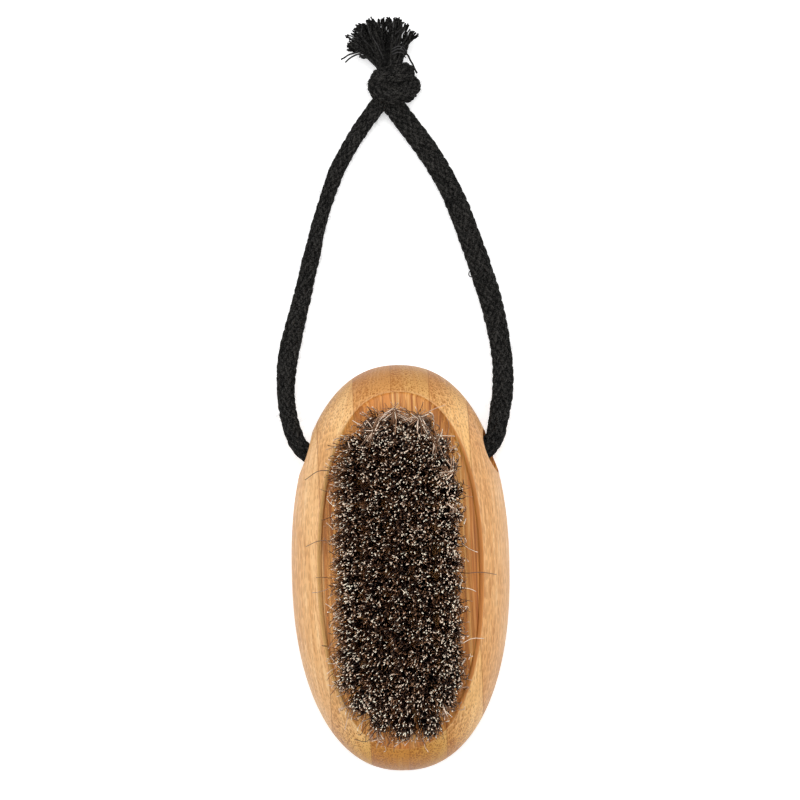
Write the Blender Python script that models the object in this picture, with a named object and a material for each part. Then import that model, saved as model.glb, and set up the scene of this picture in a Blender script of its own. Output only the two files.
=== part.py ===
"""Nail brush: an oval block of laminated bamboo, set with rows of natural bristle, on a knotted cotton cord.

Units are metres and +Z is up. The brush lies on its flat back with the bristles up, and its middle is at
the origin. +Y runs along the block, towards the hole that the hanging cord is threaded through.
"""

import math
import random

import bmesh
import bpy
import numpy as np
from mathutils import Matrix, Vector

# Clearances
FIT_GAP = 0.0003
CUT_OVERRUN = 0.0020
WELD_SHARE = 0.01

# Oval block
BLOCK_LENGTH = 0.0900
BLOCK_WIDTH = 0.0484
OUTLINE_POWER = 2.25
WAIST_HEIGHT = 0.0105
RIDGE_HEIGHT = 0.0225
BACK_INSET = 0.0100
RIM_WIDTH = 0.0060
RIM_SWEEP = math.radians(69)
RIDGE_ROUND = 0.0003
BED_DEPTH = 0.0015
BED_END_STEP = 0.0002
BED_WALL_RUN = 0.0008
OUTLINE_SEGMENTS = 72
BACK_RINGS = 6
RIM_RINGS = 7
SHARP_ANGLE = math.radians(35)

# Cross hole for the cord, drilled at a slant that rises to the right
HOLE_RADIUS = 0.0048
HOLE_FROM_MIDDLE = 0.0256
HOLE_HEIGHT = 0.01145
HOLE_SLANT = math.radians(3.3)
HOLE_SEGMENTS = 28

# Bristle field
ROW_PITCH = 0.0049
TUFT_PITCH = 0.0050
SIDE_TUFT_COUNT = 2
FIELD_OFFSET = 0.0005
FIELD_END_MARGIN = 0.0046
SLICE_THICKNESS = 0.0016
SLICE_MARGIN = 0.0018
POCKET_LAND = 0.0005
BRISTLE_LENGTH = 0.0140
BRISTLE_LENGTH_VARIATION = 0.0009
TUFT_ROOT_RADIUS = 0.0015
TUFT_TIP_RADIUS = 0.0026
TUFT_LEAN = 0.00012
FIELD_SPLAY_SHARE = 0.03
STRANDS_IN_RING = 5
STRAND_SIDES = 3
STRAND_RADIUS = 0.00046
STRAND_ROOT_SHARE = 0.45
STRAND_RISE_SHARES = (0.0, 0.55, 1.0)
STRAND_TAPER_SHARES = (1.0, 0.85, 0.50)
STRAND_BEND_POWER = 1.6
STRAND_SEED = 7

# Cotton cord
CORD_DIAMETER = 0.0038
CORD_STEP = 0.0038
CORD_RESOLUTION = 2
ROUTE_STEPS = 24
LEFT_LEG_ROUTE = (
    (-0.0120, 0.0241, 0.0105),
    (-0.0158, 0.0241, 0.0105),
    (-0.0180, 0.0245, 0.0105),
    (-0.0201, 0.0255, 0.0104),
    (-0.0218, 0.0272, 0.0102),
    (-0.0230, 0.0294, 0.0098),
    (-0.0240, 0.0325, 0.0089),
    (-0.0247, 0.0361, 0.0075),
    (-0.0250, 0.0400, 0.0057),
    (-0.0249, 0.0440, 0.0039),
    (-0.0243, 0.0483, 0.0026),
    (-0.0231, 0.0532, 0.0021),
    (-0.0213, 0.0601, 0.0020),
    (-0.0201, 0.0650, 0.0020),
    (-0.0186, 0.0707, 0.0020),
    (-0.0172, 0.0764, 0.0020),
    (-0.0154, 0.0821, 0.0020),
    (-0.0133, 0.0879, 0.0021),
    (-0.0103, 0.0936, 0.0025),
    (-0.0066, 0.0992, 0.0032),
    (-0.0042, 0.1023, 0.0037),
)
RIGHT_LEG_ROUTE = (
    (0.0120, 0.0241, 0.0105),
    (0.0146, 0.0241, 0.0105),
    (0.0169, 0.0245, 0.0105),
    (0.0190, 0.0255, 0.0104),
    (0.0206, 0.0271, 0.0103),
    (0.0216, 0.0290, 0.0101),
    (0.0221, 0.0313, 0.0095),
    (0.0227, 0.0340, 0.0085),
    (0.0232, 0.0368, 0.0071),
    (0.0236, 0.0398, 0.0056),
    (0.0238, 0.0432, 0.0041),
    (0.0236, 0.0470, 0.0028),
    (0.0228, 0.0526, 0.0021),
    (0.0217, 0.0579, 0.0020),
    (0.0202, 0.0632, 0.0020),
    (0.0187, 0.0683, 0.0020),
    (0.0169, 0.0735, 0.0020),
    (0.0150, 0.0788, 0.0020),
    (0.0129, 0.0840, 0.0020),
    (0.0102, 0.0892, 0.0022),
    (0.0069, 0.0944, 0.0026),
    (0.0033, 0.0992, 0.0032),
    (0.0011, 0.1022, 0.0037),
)

# Knot, its strands as shares of its reach from the middle
KNOT_CENTRE = (0.0004, 0.1080, 0.0043)
KNOT_REACH = (0.0044, 0.0026, 0.0024)
KNOT_STRAND_RADIUS = 0.0019
KNOT_FRONT_SHARES = (
    (0.41, 0.73, -0.67),
    (0.61, 0.88, -0.17),
    (0.59, 1.04, 0.38),
    (0.32, 1.00, 0.88),
    (-0.09, 0.90, 1.04),
    (-0.50, 0.73, 0.96),
    (-0.80, 0.42, 0.75),
    (-0.91, 0.04, 0.63),
    (-0.77, -0.42, 0.79),
    (-0.45, -0.81, 1.00),
    (0.00, -0.92, 1.08),
    (0.45, -0.85, 1.00),
    (0.80, -0.54, 0.71),
    (0.95, -0.19, 0.17),
    (0.86, 0.08, -0.38),
    (0.55, 0.19, -0.75),
)
KNOT_BACK_SHARES = (
    (0.82, -0.75, 0.00),
    (0.59, -0.80, -0.60),
    (0.14, -0.82, -0.82),
    (-0.43, -0.78, -0.79),
    (-0.80, -0.60, -0.58),
    (-0.90, -0.08, -0.46),
    (-0.80, 0.45, -0.58),
    (-0.43, 0.68, -0.79),
    (0.05, 0.76, -0.82),
    (0.43, 0.83, -0.55),
)
KNOT_STEP = 0.0018
KNOT_CORE_SHARES = (0.77, 1.10, 0.95)
KNOT_CORE_SEGMENTS = 16
KNOT_CORE_RINGS = 10
NECK_START = (-0.0004, 0.1095, 0.0043)
NECK_LENGTH = 0.0027
NECK_RADIUS = 0.0026
NECK_FLATTENING_SHARE = 0.78
NECK_SEGMENTS = 14

# Tassel
TASSEL_CORE_LENGTH = 0.0048
TASSEL_CORE_SPREAD = 0.0046
YARN_LAYER_TILTS = (math.radians(-13), math.radians(4), math.radians(19))
YARN_LAYER_LIFTS = (-0.0008, 0.0, 0.0009)
YARN_COUNTS = (6, 8, 6)
YARN_FAN_LEFT = math.radians(62)
YARN_FAN_RIGHT = math.radians(-40)
YARN_LENGTH = 0.0112
YARN_LENGTH_VARIATION = 0.0016
YARN_ROOT_RADIUS = 0.0010
YARN_TIP_RADIUS = 0.0007
YARN_CURL = math.radians(16)
YARN_POINTS = 4
YARN_RESOLUTION = 1

# Colours as linear values, with roughness
BAMBOO = ((0.80, 0.47, 0.21), 0.45)
BRISTLE = ((0.035, 0.022, 0.015), 0.50)
COTTON = ((0.018, 0.018, 0.018), 0.90)

BED_HEIGHT = RIDGE_HEIGHT - BED_DEPTH
BED_HALF_WIDTH = BLOCK_WIDTH / 2 - RIM_WIDTH
BED_HALF_LENGTH = BLOCK_LENGTH / 2 - RIM_WIDTH
ROW_COUNT = int(2 * (BED_HALF_LENGTH - FIELD_END_MARGIN) / ROW_PITCH)


def clear_scene():
    for obj in list(bpy.data.objects):
        bpy.data.objects.remove(obj, do_unlink=True)


def new_collection(name):
    collection = bpy.data.collections.new(name)
    bpy.context.scene.collection.children.link(collection)
    return collection


def material(name, finish):
    colour, roughness = finish
    made = bpy.data.materials.new(name)
    made.use_nodes = True
    shader = made.node_tree.nodes["Principled BSDF"]
    shader.inputs["Base Color"].default_value = (*colour, 1)
    shader.inputs["Roughness"].default_value = roughness
    shader.inputs["Metallic"].default_value = 0
    return made


def dress(obj, finish):
    obj.data.materials.append(material(f"{obj.name}_finish", finish))


def add_mesh(name, bm, collection):
    """A mesh object from bm, with its faces turned out."""
    bmesh.ops.recalc_face_normals(bm, faces=bm.faces)
    mesh = bpy.data.meshes.new(name)
    bm.to_mesh(mesh)
    bm.free()
    obj = bpy.data.objects.new(name, mesh)
    collection.objects.link(obj)
    return obj


def hide_as_cutter(obj):
    obj.hide_render = True
    obj.display_type = "WIRE"


def add_boolean(obj, other, operation, folds=False):
    """Cuts or joins other. folds is for a strand bent so tightly that its inner side meets itself."""
    modifier = obj.modifiers.new(f"{operation.lower()}_{other.name}", "BOOLEAN")
    modifier.operation = operation
    modifier.solver = "EXACT"
    modifier.use_self = folds
    modifier.material_mode = "TRANSFER"
    modifier.object = other
    hide_as_cutter(other)


def shade(obj):
    obj.data.shade_smooth()
    obj.data.set_sharp_from_angle(angle=SHARP_ANGLE)


def curve_object(name, routes, collection, cyclic=False):
    """A curve of one straight-sided spline for each route, whose points are (place, radius)."""
    curve = bpy.data.curves.new(name, "CURVE")
    curve.dimensions = "3D"
    for route in routes:
        spline = curve.splines.new("POLY")
        spline.points.add(len(route) - 1)
        for point, (place, radius) in zip(spline.points, route):
            point.co = (*place, 1)
            point.radius = radius
        spline.use_cyclic_u = cyclic
    curve.use_fill_caps = True
    obj = bpy.data.objects.new(name, curve)
    collection.objects.link(obj)
    return obj


def tube(name, places, radius, resolution, collection, taper=None):
    """A round tube along the places, whose radius is multiplied by taper's values."""
    taper = taper if taper is not None else [1.0] * len(places)
    obj = curve_object(name, [list(zip(places, taper))], collection)
    obj.data.bevel_depth = radius
    obj.data.bevel_resolution = resolution
    return obj


def as_mesh(curve_obj, collection):
    """The curve object's solid as a mesh object of the same name, with its caps welded on."""
    graph = bpy.context.evaluated_depsgraph_get()
    mesh = bpy.data.meshes.new_from_object(curve_obj.evaluated_get(graph))
    bm = bmesh.new()
    bm.from_mesh(mesh)
    bpy.data.meshes.remove(mesh)
    bmesh.ops.remove_doubles(bm, verts=bm.verts, dist=FIT_GAP * WELD_SHARE)
    name = curve_obj.name
    place = curve_obj.matrix_world.copy()
    curve = curve_obj.data
    bpy.data.objects.remove(curve_obj, do_unlink=True)
    bpy.data.curves.remove(curve)
    obj = add_mesh(name, bm, collection)
    obj.matrix_world = place
    return obj


def oval_half_width(half_width, half_length, y):
    """Half the width at y of an oval with these half sizes."""
    share = min(abs(y) / half_length, 1.0)
    return half_width * (1 - share**OUTLINE_POWER) ** (1 / OUTLINE_POWER)


def oval(inset):
    """(x, y) places round the block's oval outline, drawn in by inset."""
    half_width = BLOCK_WIDTH / 2 - inset
    half_length = BLOCK_LENGTH / 2 - inset
    places = []
    for step in range(OUTLINE_SEGMENTS):
        turn = 2 * math.pi * step / OUTLINE_SEGMENTS
        across = math.copysign(abs(math.cos(turn)) ** (2 / OUTLINE_POWER), math.cos(turn))
        along = math.copysign(abs(math.sin(turn)) ** (2 / OUTLINE_POWER), math.sin(turn))
        places.append((half_width * across, half_length * along))
    return places


def block_profile():
    """(inset, height) of the block's section, from the flat back up over the widest line to the ridge."""
    profile = []
    for step in range(BACK_RINGS):
        turn = math.pi / 2 * (1 - step / BACK_RINGS)
        profile.append((BACK_INSET * (1 - math.cos(turn)), WAIST_HEIGHT * (1 - math.sin(turn))))
    run = (RIM_WIDTH - RIDGE_ROUND) / (1 - math.cos(RIM_SWEEP))
    rise = (RIDGE_HEIGHT - RIDGE_ROUND / 2 - WAIST_HEIGHT) / math.sin(RIM_SWEEP)
    for step in range(RIM_RINGS + 1):
        turn = RIM_SWEEP * step / RIM_RINGS
        profile.append((run * (1 - math.cos(turn)), WAIST_HEIGHT + rise * math.sin(turn)))
    profile.append((RIM_WIDTH, RIDGE_HEIGHT))
    profile.append((RIM_WIDTH + RIDGE_ROUND, RIDGE_HEIGHT - RIDGE_ROUND))
    return profile


def crown_drop(y, height):
    """How far the rim falls towards the block's ends, where the ridge comes down to the bed."""
    lift = max(height - WAIST_HEIGHT, 0) / (RIDGE_HEIGHT - WAIST_HEIGHT)
    return (BED_DEPTH - BED_END_STEP) * lift * (y / BED_HALF_LENGTH) ** 2


def ring_of(bm, inset, height):
    """A ring of the block's surface, crowned along its length."""
    places = ((x, y, height - crown_drop(y, height)) for x, y in oval(inset))
    return [bm.verts.new(place) for place in places]


def bed_ring(bm):
    """The flat edge of the bed, at the foot of its sloping wall."""
    floor = oval(RIM_WIDTH + RIDGE_ROUND + BED_WALL_RUN)
    return [bm.verts.new((x, y, BED_HEIGHT)) for x, y in floor]


def loft(bm, rings):
    for lower, upper in zip(rings, rings[1:]):
        for step in range(len(lower)):
            after = (step + 1) % len(lower)
            bm.faces.new((lower[step], lower[after], upper[after], upper[step]))
    bm.faces.new(rings[0][::-1])
    bm.faces.new(rings[-1])


def hole_cutter(cutters):
    bm = bmesh.new()
    across = BLOCK_WIDTH + 2 * CUT_OVERRUN
    bmesh.ops.create_cone(
        bm, cap_ends=True, segments=HOLE_SEGMENTS, radius1=HOLE_RADIUS, radius2=HOLE_RADIUS, depth=across
    )
    obj = add_mesh("cord_hole_cutter", bm, cutters)
    obj.rotation_euler = (0, math.pi / 2 - HOLE_SLANT, 0)
    obj.location = (0, HOLE_FROM_MIDDLE, HOLE_HEIGHT)
    return obj


def row_place(row):
    """The row's middle along the block."""
    return (row - (ROW_COUNT - 1) / 2) * ROW_PITCH


def tuft_room(row):
    """How far from the field's middle a tuft can stand, with its slice of backing clear of the bed's wall."""
    edge = abs(row_place(row)) + ROW_PITCH / 2 + FIT_GAP
    foot = RIDGE_ROUND + BED_WALL_RUN
    reach = oval_half_width(BED_HALF_WIDTH - foot, BED_HALF_LENGTH - foot, edge)
    return reach - POCKET_LAND - FIT_GAP - abs(FIELD_OFFSET) - SLICE_MARGIN


def tufts_beside(row):
    """How many tufts stand on each side of the row's middle one, fewer where the oval bed narrows."""
    return min(round(tuft_room(row) / TUFT_PITCH), SIDE_TUFT_COUNT)


def outer_tuft(row):
    """How far the row's outer tufts are from the field's middle. They close up where room is short."""
    return min(tufts_beside(row) * TUFT_PITCH, tuft_room(row))


def slice_half_length(row):
    """Half the length of the row's slice of backing."""
    return outer_tuft(row) + SLICE_MARGIN


def pocket_outline():
    """The stepped outline of the pocket, with the fit gap all round the slices of backing set in it."""
    reaches = [0, *[slice_half_length(row) + FIT_GAP for row in range(ROW_COUNT)], 0]
    side = []
    for row, (before, reach) in enumerate(zip(reaches, reaches[1:])):
        if reach != before:
            edge = row_place(row) - ROW_PITCH / 2 - math.copysign(FIT_GAP / 2, reach - before)
            side += [(before, edge), (reach, edge)]
    side = side[1:-1]
    right = [(FIELD_OFFSET + x, y, 0) for x, y in side]
    left = [(FIELD_OFFSET - x, y, 0) for x, y in reversed(side)]
    return right + left


def pocket_cutter(cutters):
    bm = bmesh.new()
    floor = bm.faces.new([bm.verts.new(place) for place in pocket_outline()])
    raised = bmesh.ops.extrude_face_region(bm, geom=[floor])["geom"]
    rise = Vector((0, 0, SLICE_THICKNESS + FIT_GAP + CUT_OVERRUN))
    bmesh.ops.translate(bm, vec=rise, verts=[item for item in raised if isinstance(item, bmesh.types.BMVert)])
    obj = add_mesh("backing_pocket_cutter", bm, cutters)
    obj.location = (0, 0, BED_HEIGHT - SLICE_THICKNESS - FIT_GAP)
    return obj


def make_block(parts, cutters):
    bm = bmesh.new()
    rings = [ring_of(bm, inset, height) for inset, height in block_profile()]
    rings.append(bed_ring(bm))
    loft(bm, rings)
    block = add_mesh("handle_block", bm, parts)
    dress(block, BAMBOO)
    shade(block)
    add_boolean(block, hole_cutter(cutters), "DIFFERENCE")
    add_boolean(block, pocket_cutter(cutters), "DIFFERENCE")
    return block


def strand_profile(cutters):
    """The section that the strands are swept with, of unit radius."""
    corners = [2 * math.pi * corner / STRAND_SIDES for corner in range(STRAND_SIDES)]
    route = [((math.cos(turn), math.sin(turn), 0), 1.0) for turn in corners]
    obj = curve_object("strand_profile", [route], cutters, cyclic=True)
    obj.data.dimensions = "2D"
    obj.data.fill_mode = "NONE"
    hide_as_cutter(obj)
    return obj


def strand_route(root, tip, length):
    """A strand from inside its backing to its tip, bending outwards as it rises."""
    route = []
    for rise, taper in zip(STRAND_RISE_SHARES, STRAND_TAPER_SHARES):
        place = root.lerp(tip, rise**STRAND_BEND_POWER)
        start = BED_HEIGHT - SLICE_THICKNESS * STRAND_ROOT_SHARE
        height = start + (BED_HEIGHT + length - start) * rise
        route.append(((place.x, place.y, height), STRAND_RADIUS * taper))
    return route


def tuft_routes(x, y, chance):
    """The strands of one tuft: one in the middle and a ring round it, spreading towards the tips."""
    root = Vector((x, y))
    lean = Vector((chance.uniform(-TUFT_LEAN, TUFT_LEAN), chance.uniform(-TUFT_LEAN, TUFT_LEAN)))
    tip = root * (1 + FIELD_SPLAY_SHARE) + lean
    start = chance.uniform(0, 2 * math.pi)
    routes = [strand_route(root, tip, BRISTLE_LENGTH)]
    for strand in range(STRANDS_IN_RING):
        turn = start + 2 * math.pi * strand / STRANDS_IN_RING
        out = Vector((math.cos(turn), math.sin(turn)))
        foot = root + out * (TUFT_ROOT_RADIUS - STRAND_RADIUS)
        head = tip + out * (TUFT_TIP_RADIUS - STRAND_RADIUS)
        length = BRISTLE_LENGTH - chance.uniform(0, BRISTLE_LENGTH_VARIATION)
        routes.append(strand_route(foot, head, length))
    return routes


def row_strands(row, profile, cutters, chance):
    reach = outer_tuft(row)
    routes = []
    for x in np.linspace(FIELD_OFFSET - reach, FIELD_OFFSET + reach, 2 * tufts_beside(row) + 1):
        routes += tuft_routes(x, row_place(row), chance)
    obj = curve_object(f"strands_{row + 1:02d}", routes, cutters)
    obj.data.bevel_mode = "OBJECT"
    obj.data.bevel_object = profile
    bpy.context.view_layer.update()
    return as_mesh(obj, cutters)


def make_bristle_row(row, profile, parts, cutters, chance):
    """One row of tufts, fused to its slice of backing."""
    size = (2 * slice_half_length(row), ROW_PITCH - FIT_GAP, SLICE_THICKNESS)
    bm = bmesh.new()
    bmesh.ops.create_cube(bm, size=1)
    bmesh.ops.scale(bm, vec=size, verts=bm.verts)
    middle = Vector((FIELD_OFFSET, row_place(row), BED_HEIGHT - SLICE_THICKNESS / 2))
    bmesh.ops.translate(bm, vec=middle, verts=bm.verts)
    node = add_mesh(f"bristle_row_{row + 1:02d}", bm, parts)
    dress(node, BAMBOO)
    strands = row_strands(row, profile, cutters, chance)
    dress(strands, BRISTLE)
    add_boolean(node, strands, "UNION")
    return node


def smooth_curve(route):
    """Many places on a smooth curve through the route's points."""
    points = np.array(route, dtype=float)
    before = 2 * points[0] - points[1]
    after = 2 * points[-1] - points[-2]
    points = np.vstack([before, points, after])
    places = []
    for a, b, c, d in zip(points, points[1:], points[2:], points[3:]):
        for t in np.arange(ROUTE_STEPS) / ROUTE_STEPS:
            bend = (2 * a - 5 * b + 4 * c - d) * t**2 + (3 * b - a - 3 * c + d) * t**3
            places.append((2 * b + (c - a) * t + bend) / 2)
    places.append(points[-2])
    return np.array(places)


def evenly_along(route, step):
    """Places about one step apart along the smooth curve through the route's points."""
    places = smooth_curve(route)
    runs = np.linalg.norm(np.diff(places, axis=0), axis=1)
    travelled = np.concatenate([[0], np.cumsum(runs)])
    count = max(int(round(travelled[-1] / step)), 2) + 1
    wanted = np.linspace(0, travelled[-1], count)
    return [Vector([np.interp(at, travelled, places[:, axis]) for axis in range(3)]) for at in wanted]


def make_leg(name, route, parts):
    """A free stretch of the cord, from inside the hole to the knot. Also gives the places it runs through."""
    places = evenly_along(route, CORD_STEP)
    leg = tube(name, places, CORD_DIAMETER / 2, CORD_RESOLUTION, parts)
    dress(leg, COTTON)
    return places


def make_hole_stretch(left, right, parts):
    """The stretch of cord inside the hole, face to face with both legs."""
    gap = Vector((FIT_GAP, 0, 0))
    places = evenly_along([left + gap, (left + right) / 2, right - gap], CORD_STEP)
    dress(tube("cord_hole_stretch", places, CORD_DIAMETER / 2, CORD_RESOLUTION, parts), COTTON)


def knot_strand(name, shares, cutters):
    route = [Vector(KNOT_CENTRE) + Vector(KNOT_REACH) * Vector(share) for share in shares]
    places = evenly_along(route, KNOT_STEP)
    return as_mesh(tube(name, places, KNOT_STRAND_RADIUS, CORD_RESOLUTION, cutters), cutters)


def knot_stub(name, leg_places, cutters):
    """The cord's last bit before it goes into the knot, face to face with its leg."""
    onward = (leg_places[-1] - leg_places[-2]).normalized()
    start = leg_places[-1] + onward * FIT_GAP
    inside = start + onward * CORD_DIAMETER
    places = [start, inside, Vector(KNOT_CENTRE)]
    return as_mesh(tube(name, places, CORD_DIAMETER / 2, CORD_RESOLUTION, cutters), cutters)


def rounded_core(name, centre, half_sizes, collection):
    """An egg-shaped solid."""
    bm = bmesh.new()
    bmesh.ops.create_uvsphere(bm, u_segments=KNOT_CORE_SEGMENTS, v_segments=KNOT_CORE_RINGS, radius=1)
    bmesh.ops.scale(bm, vec=half_sizes, verts=bm.verts)
    bmesh.ops.translate(bm, vec=centre, verts=bm.verts)
    return add_mesh(name, bm, collection)


def flat_cone(name, start, length, start_radius, end_radius, collection):
    """A stub along +Y, flattened in height."""
    bm = bmesh.new()
    bmesh.ops.create_cone(
        bm, cap_ends=True, segments=NECK_SEGMENTS, radius1=start_radius, radius2=end_radius, depth=length
    )
    bmesh.ops.rotate(bm, matrix=Matrix.Rotation(-math.pi / 2, 3, "X"), verts=bm.verts)
    bmesh.ops.scale(bm, vec=(1, 1, NECK_FLATTENING_SHARE), verts=bm.verts)
    bmesh.ops.translate(bm, vec=start + Vector((0, length / 2, 0)), verts=bm.verts)
    return add_mesh(name, bm, collection)


def make_knot(left_places, right_places, parts, cutters):
    """The overhand knot: two strands over a filled middle, with the cord's stubs and its neck."""
    half_sizes = Vector(KNOT_REACH) * Vector(KNOT_CORE_SHARES)
    knot = rounded_core("cord_knot", Vector(KNOT_CENTRE), half_sizes, parts)
    dress(knot, COTTON)
    pieces = (
        knot_strand("knot_front_strand", KNOT_FRONT_SHARES, cutters),
        knot_strand("knot_back_strand", KNOT_BACK_SHARES, cutters),
        knot_stub("knot_left_stub", left_places, cutters),
        knot_stub("knot_right_stub", right_places, cutters),
        flat_cone("knot_neck", Vector(NECK_START), NECK_LENGTH, NECK_RADIUS, NECK_RADIUS, cutters),
    )
    for piece in pieces:
        add_boolean(knot, piece, "UNION", folds=True)
    return knot


def yarn_places(root, fan, tilt, length, curl):
    """A yarn of the tassel, from inside its core outwards, bending as it goes."""
    places = [root]
    for step in range(YARN_POINTS):
        turn = fan + curl * step / YARN_POINTS
        flat = math.cos(tilt)
        heading = Vector((-math.sin(turn) * flat, math.cos(turn) * flat, math.sin(tilt)))
        places.append(places[-1] + heading * length / YARN_POINTS)
    return places


def make_tassel(parts, cutters):
    """The frayed ends of the cord above the knot, as a fan of yarns round a core."""
    start = Vector(NECK_START) + Vector((0, NECK_LENGTH + FIT_GAP, 0))
    tassel = flat_cone("cord_tassel", start, TASSEL_CORE_LENGTH, NECK_RADIUS, TASSEL_CORE_SPREAD, parts)
    dress(tassel, COTTON)
    taper = np.linspace(1, YARN_TIP_RADIUS / YARN_ROOT_RADIUS, YARN_POINTS + 1)
    for layer, count in enumerate(YARN_COUNTS):
        for yarn in range(count):
            share = (yarn + 0.5) / count
            fan = YARN_FAN_LEFT + (YARN_FAN_RIGHT - YARN_FAN_LEFT) * share
            root = start + Vector((0, YARN_ROOT_RADIUS, YARN_LAYER_LIFTS[layer]))
            length = YARN_LENGTH - YARN_LENGTH_VARIATION * ((yarn + layer) % 2)
            curl = YARN_CURL * math.sin(fan)
            places = yarn_places(root, fan, YARN_LAYER_TILTS[layer], length, curl)
            name = f"yarn_{layer + 1}_{yarn + 1}"
            strand = tube(name, places, YARN_ROOT_RADIUS, YARN_RESOLUTION, cutters, taper)
            add_boolean(tassel, as_mesh(strand, cutters), "UNION")
    return tassel


def main():
    clear_scene()
    parts = new_collection("nail_brush")
    cutters = new_collection("cutters")
    make_block(parts, cutters)
    profile = strand_profile(cutters)
    chance = random.Random(STRAND_SEED)
    for row in range(ROW_COUNT):
        make_bristle_row(row, profile, parts, cutters, chance)
    left = make_leg("cord_left_leg", LEFT_LEG_ROUTE, parts)
    right = make_leg("cord_right_leg", RIGHT_LEG_ROUTE, parts)
    make_hole_stretch(left[0], right[0], parts)
    make_knot(left, right, parts, cutters)
    make_tassel(parts, cutters)


main()
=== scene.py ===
import math

import bmesh
import bpy
import numpy as np
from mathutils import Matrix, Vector


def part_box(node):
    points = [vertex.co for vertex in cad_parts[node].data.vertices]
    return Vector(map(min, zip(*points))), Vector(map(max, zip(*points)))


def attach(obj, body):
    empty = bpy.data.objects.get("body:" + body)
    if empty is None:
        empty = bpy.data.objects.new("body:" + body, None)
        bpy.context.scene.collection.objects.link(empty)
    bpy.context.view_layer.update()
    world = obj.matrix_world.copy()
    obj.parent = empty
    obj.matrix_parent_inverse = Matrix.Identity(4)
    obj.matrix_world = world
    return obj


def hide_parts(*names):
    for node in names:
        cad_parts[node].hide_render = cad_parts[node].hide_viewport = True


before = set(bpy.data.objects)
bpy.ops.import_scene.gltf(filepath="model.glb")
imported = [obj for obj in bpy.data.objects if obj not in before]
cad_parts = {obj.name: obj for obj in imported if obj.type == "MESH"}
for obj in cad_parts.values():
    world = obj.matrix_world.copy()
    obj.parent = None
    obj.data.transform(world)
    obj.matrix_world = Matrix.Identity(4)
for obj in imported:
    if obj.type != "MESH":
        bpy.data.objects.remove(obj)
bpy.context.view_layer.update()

BODY = "root"
UP = np.array((0.0, 0.0, 1.0))
# Millimetres in a metre
MM = 1000.0

# Camera, straight above the brush
CAMERA_PLACE = (0.00053, 0.0372, 0.610)
CAMERA_ROLL = math.radians(-1.02)
CAMERA_LENS = 121.4
CAMERA_CLIP = 0.01

# Light
LAMPS = (
    ((-0.52, 0.08, 0.70), (0.60, 0.90), 3.0),
    ((0.52, 0.08, 0.70), (0.60, 0.90), 2.6),
    ((0.0, 0.25, 0.97), (0.50, 0.50), 4.5),
)
LAMP_AIM = (0.0, 0.03, 0.01)
WORLD_STRENGTH = 0.28
FLOOR_SIZE = 4.0
FLOOR_DROP = 0.0002
FLOOR_ALBEDO = 0.85
FLOOR_LIFT = 0.46

# Bamboo block
OUTLINE_POWER = 2.25
WAIST_HEIGHT = 0.0105
RIDGE_HEIGHT = 0.0225
BACK_INSET = 0.0100
RIM_WIDTH = 0.0060
RIM_SWEEP = math.radians(69)
RIDGE_ROUND = 0.0003
BED_DEPTH = 0.0015
BED_END_STEP = 0.0002
BED_WALL_RUN = 0.0008
BED_HEIGHT = RIDGE_HEIGHT - BED_DEPTH
BED_WALL_SHARES = (0.35, 0.70, 0.90)
RIDGE_FROM_MIDDLE = 0.0390
OUTLINE_SEGMENTS = 320
BACK_RINGS = 16
RIM_RINGS = 24
RIDGE_RINGS = 5
SHARP_ANGLE = math.radians(38)
CORD_HOLE = (0.0, 0.0256, 0.01145)
CORD_HOLE_RADIUS = 0.0048
CORD_HOLE_SLANT = math.radians(3.3)
CORD_HOLE_SEGMENTS = 72
TUFT_HOLE_RADIUS = 0.00185
TUFT_HOLE_DEPTH = 0.0036
TUFT_HOLE_SEGMENTS = 20
CUT_OVERRUN = 0.002
FIBRE_RELIEF = 0.00006

# Bamboo grain, in millimetres or per millimetre. A fade goes from its first value to its last
STRIP_WIDTH = 8.35
STRIP_LEAN = 0.0338
STRIP_START = -0.15
STRIP_BOW = 0.5
TONE_REACH = 30.0
BROAD_GRAIN = (0.55, 0.015)
FINE_GRAIN = 1.7
STREAK_FADE = (26.0, 40.0)
# Board ends darkened partly for end grain and partly as painted shade; the low end gets more painted
# shade
END_SHADE_FADE = (33.0, 43.0)
LOW_END_SHADE_FADE = (-33.0, -42.0)
MARK_FADE = (24.0, 41.0)
MARK_ENDS = (-36.0, 36.0)
FIBRES_PER_MM = 1.9
DOTS_FROM_MIDDLE = 50.0
GLUE_FADE = (STRIP_WIDTH / 2 - 0.20, STRIP_WIDTH / 2 - 0.06)
# Heights over which the bed's wall takes its painted light
PAINTED_WALL_LIGHT_FADE = (MM * BED_HEIGHT + 0.25, MM * BED_HEIGHT + 0.60)

# Bristle field
ROW_COUNT = 14
ROW_PITCH = 0.0049
FIELD_OFFSET = 0.0005
ROW_REACHES = (0.0049, 0.0085, 0.0100)
HAIRS_IN_TUFT = 186
HAIR_TAPER = np.array((1.0, 1.0, 1.0, 0.98, 0.95, 0.90, 0.85))
HAIR_RISES = np.array((0.0, 0.30, 0.55, 0.74, 0.87, 0.94, 1.0))
HAIR_SIDES = 4
HAIR_RADIUS = 0.000112
TIP_HEIGHT = 0.0349
TUFT_SPREAD = 0.0030
TIP_SCATTER = 0.00055
TIP_SHORTFALL = 0.00050
LEAN_FALL = 0.030
HAIR_BOW = 0.00045
HAIR_BEND = 1.6
FIELD_LEAN = np.array((-0.0013, -0.0004))
FIELD_SPLAY_SHARES = (0.09, 0.015)
BRIGHT_FROM = 0.84
# The sideways reach from which a hair seen from its side takes a painted sheen that turns it brown, what
# more turns it all brown, and what thins it
PAINTED_SHEEN_FROM = 0.0024
PAINTED_SHEEN_RUN = 0.0014
THIN_FROM = 0.0028
BRISTLE_SEED = 5

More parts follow.
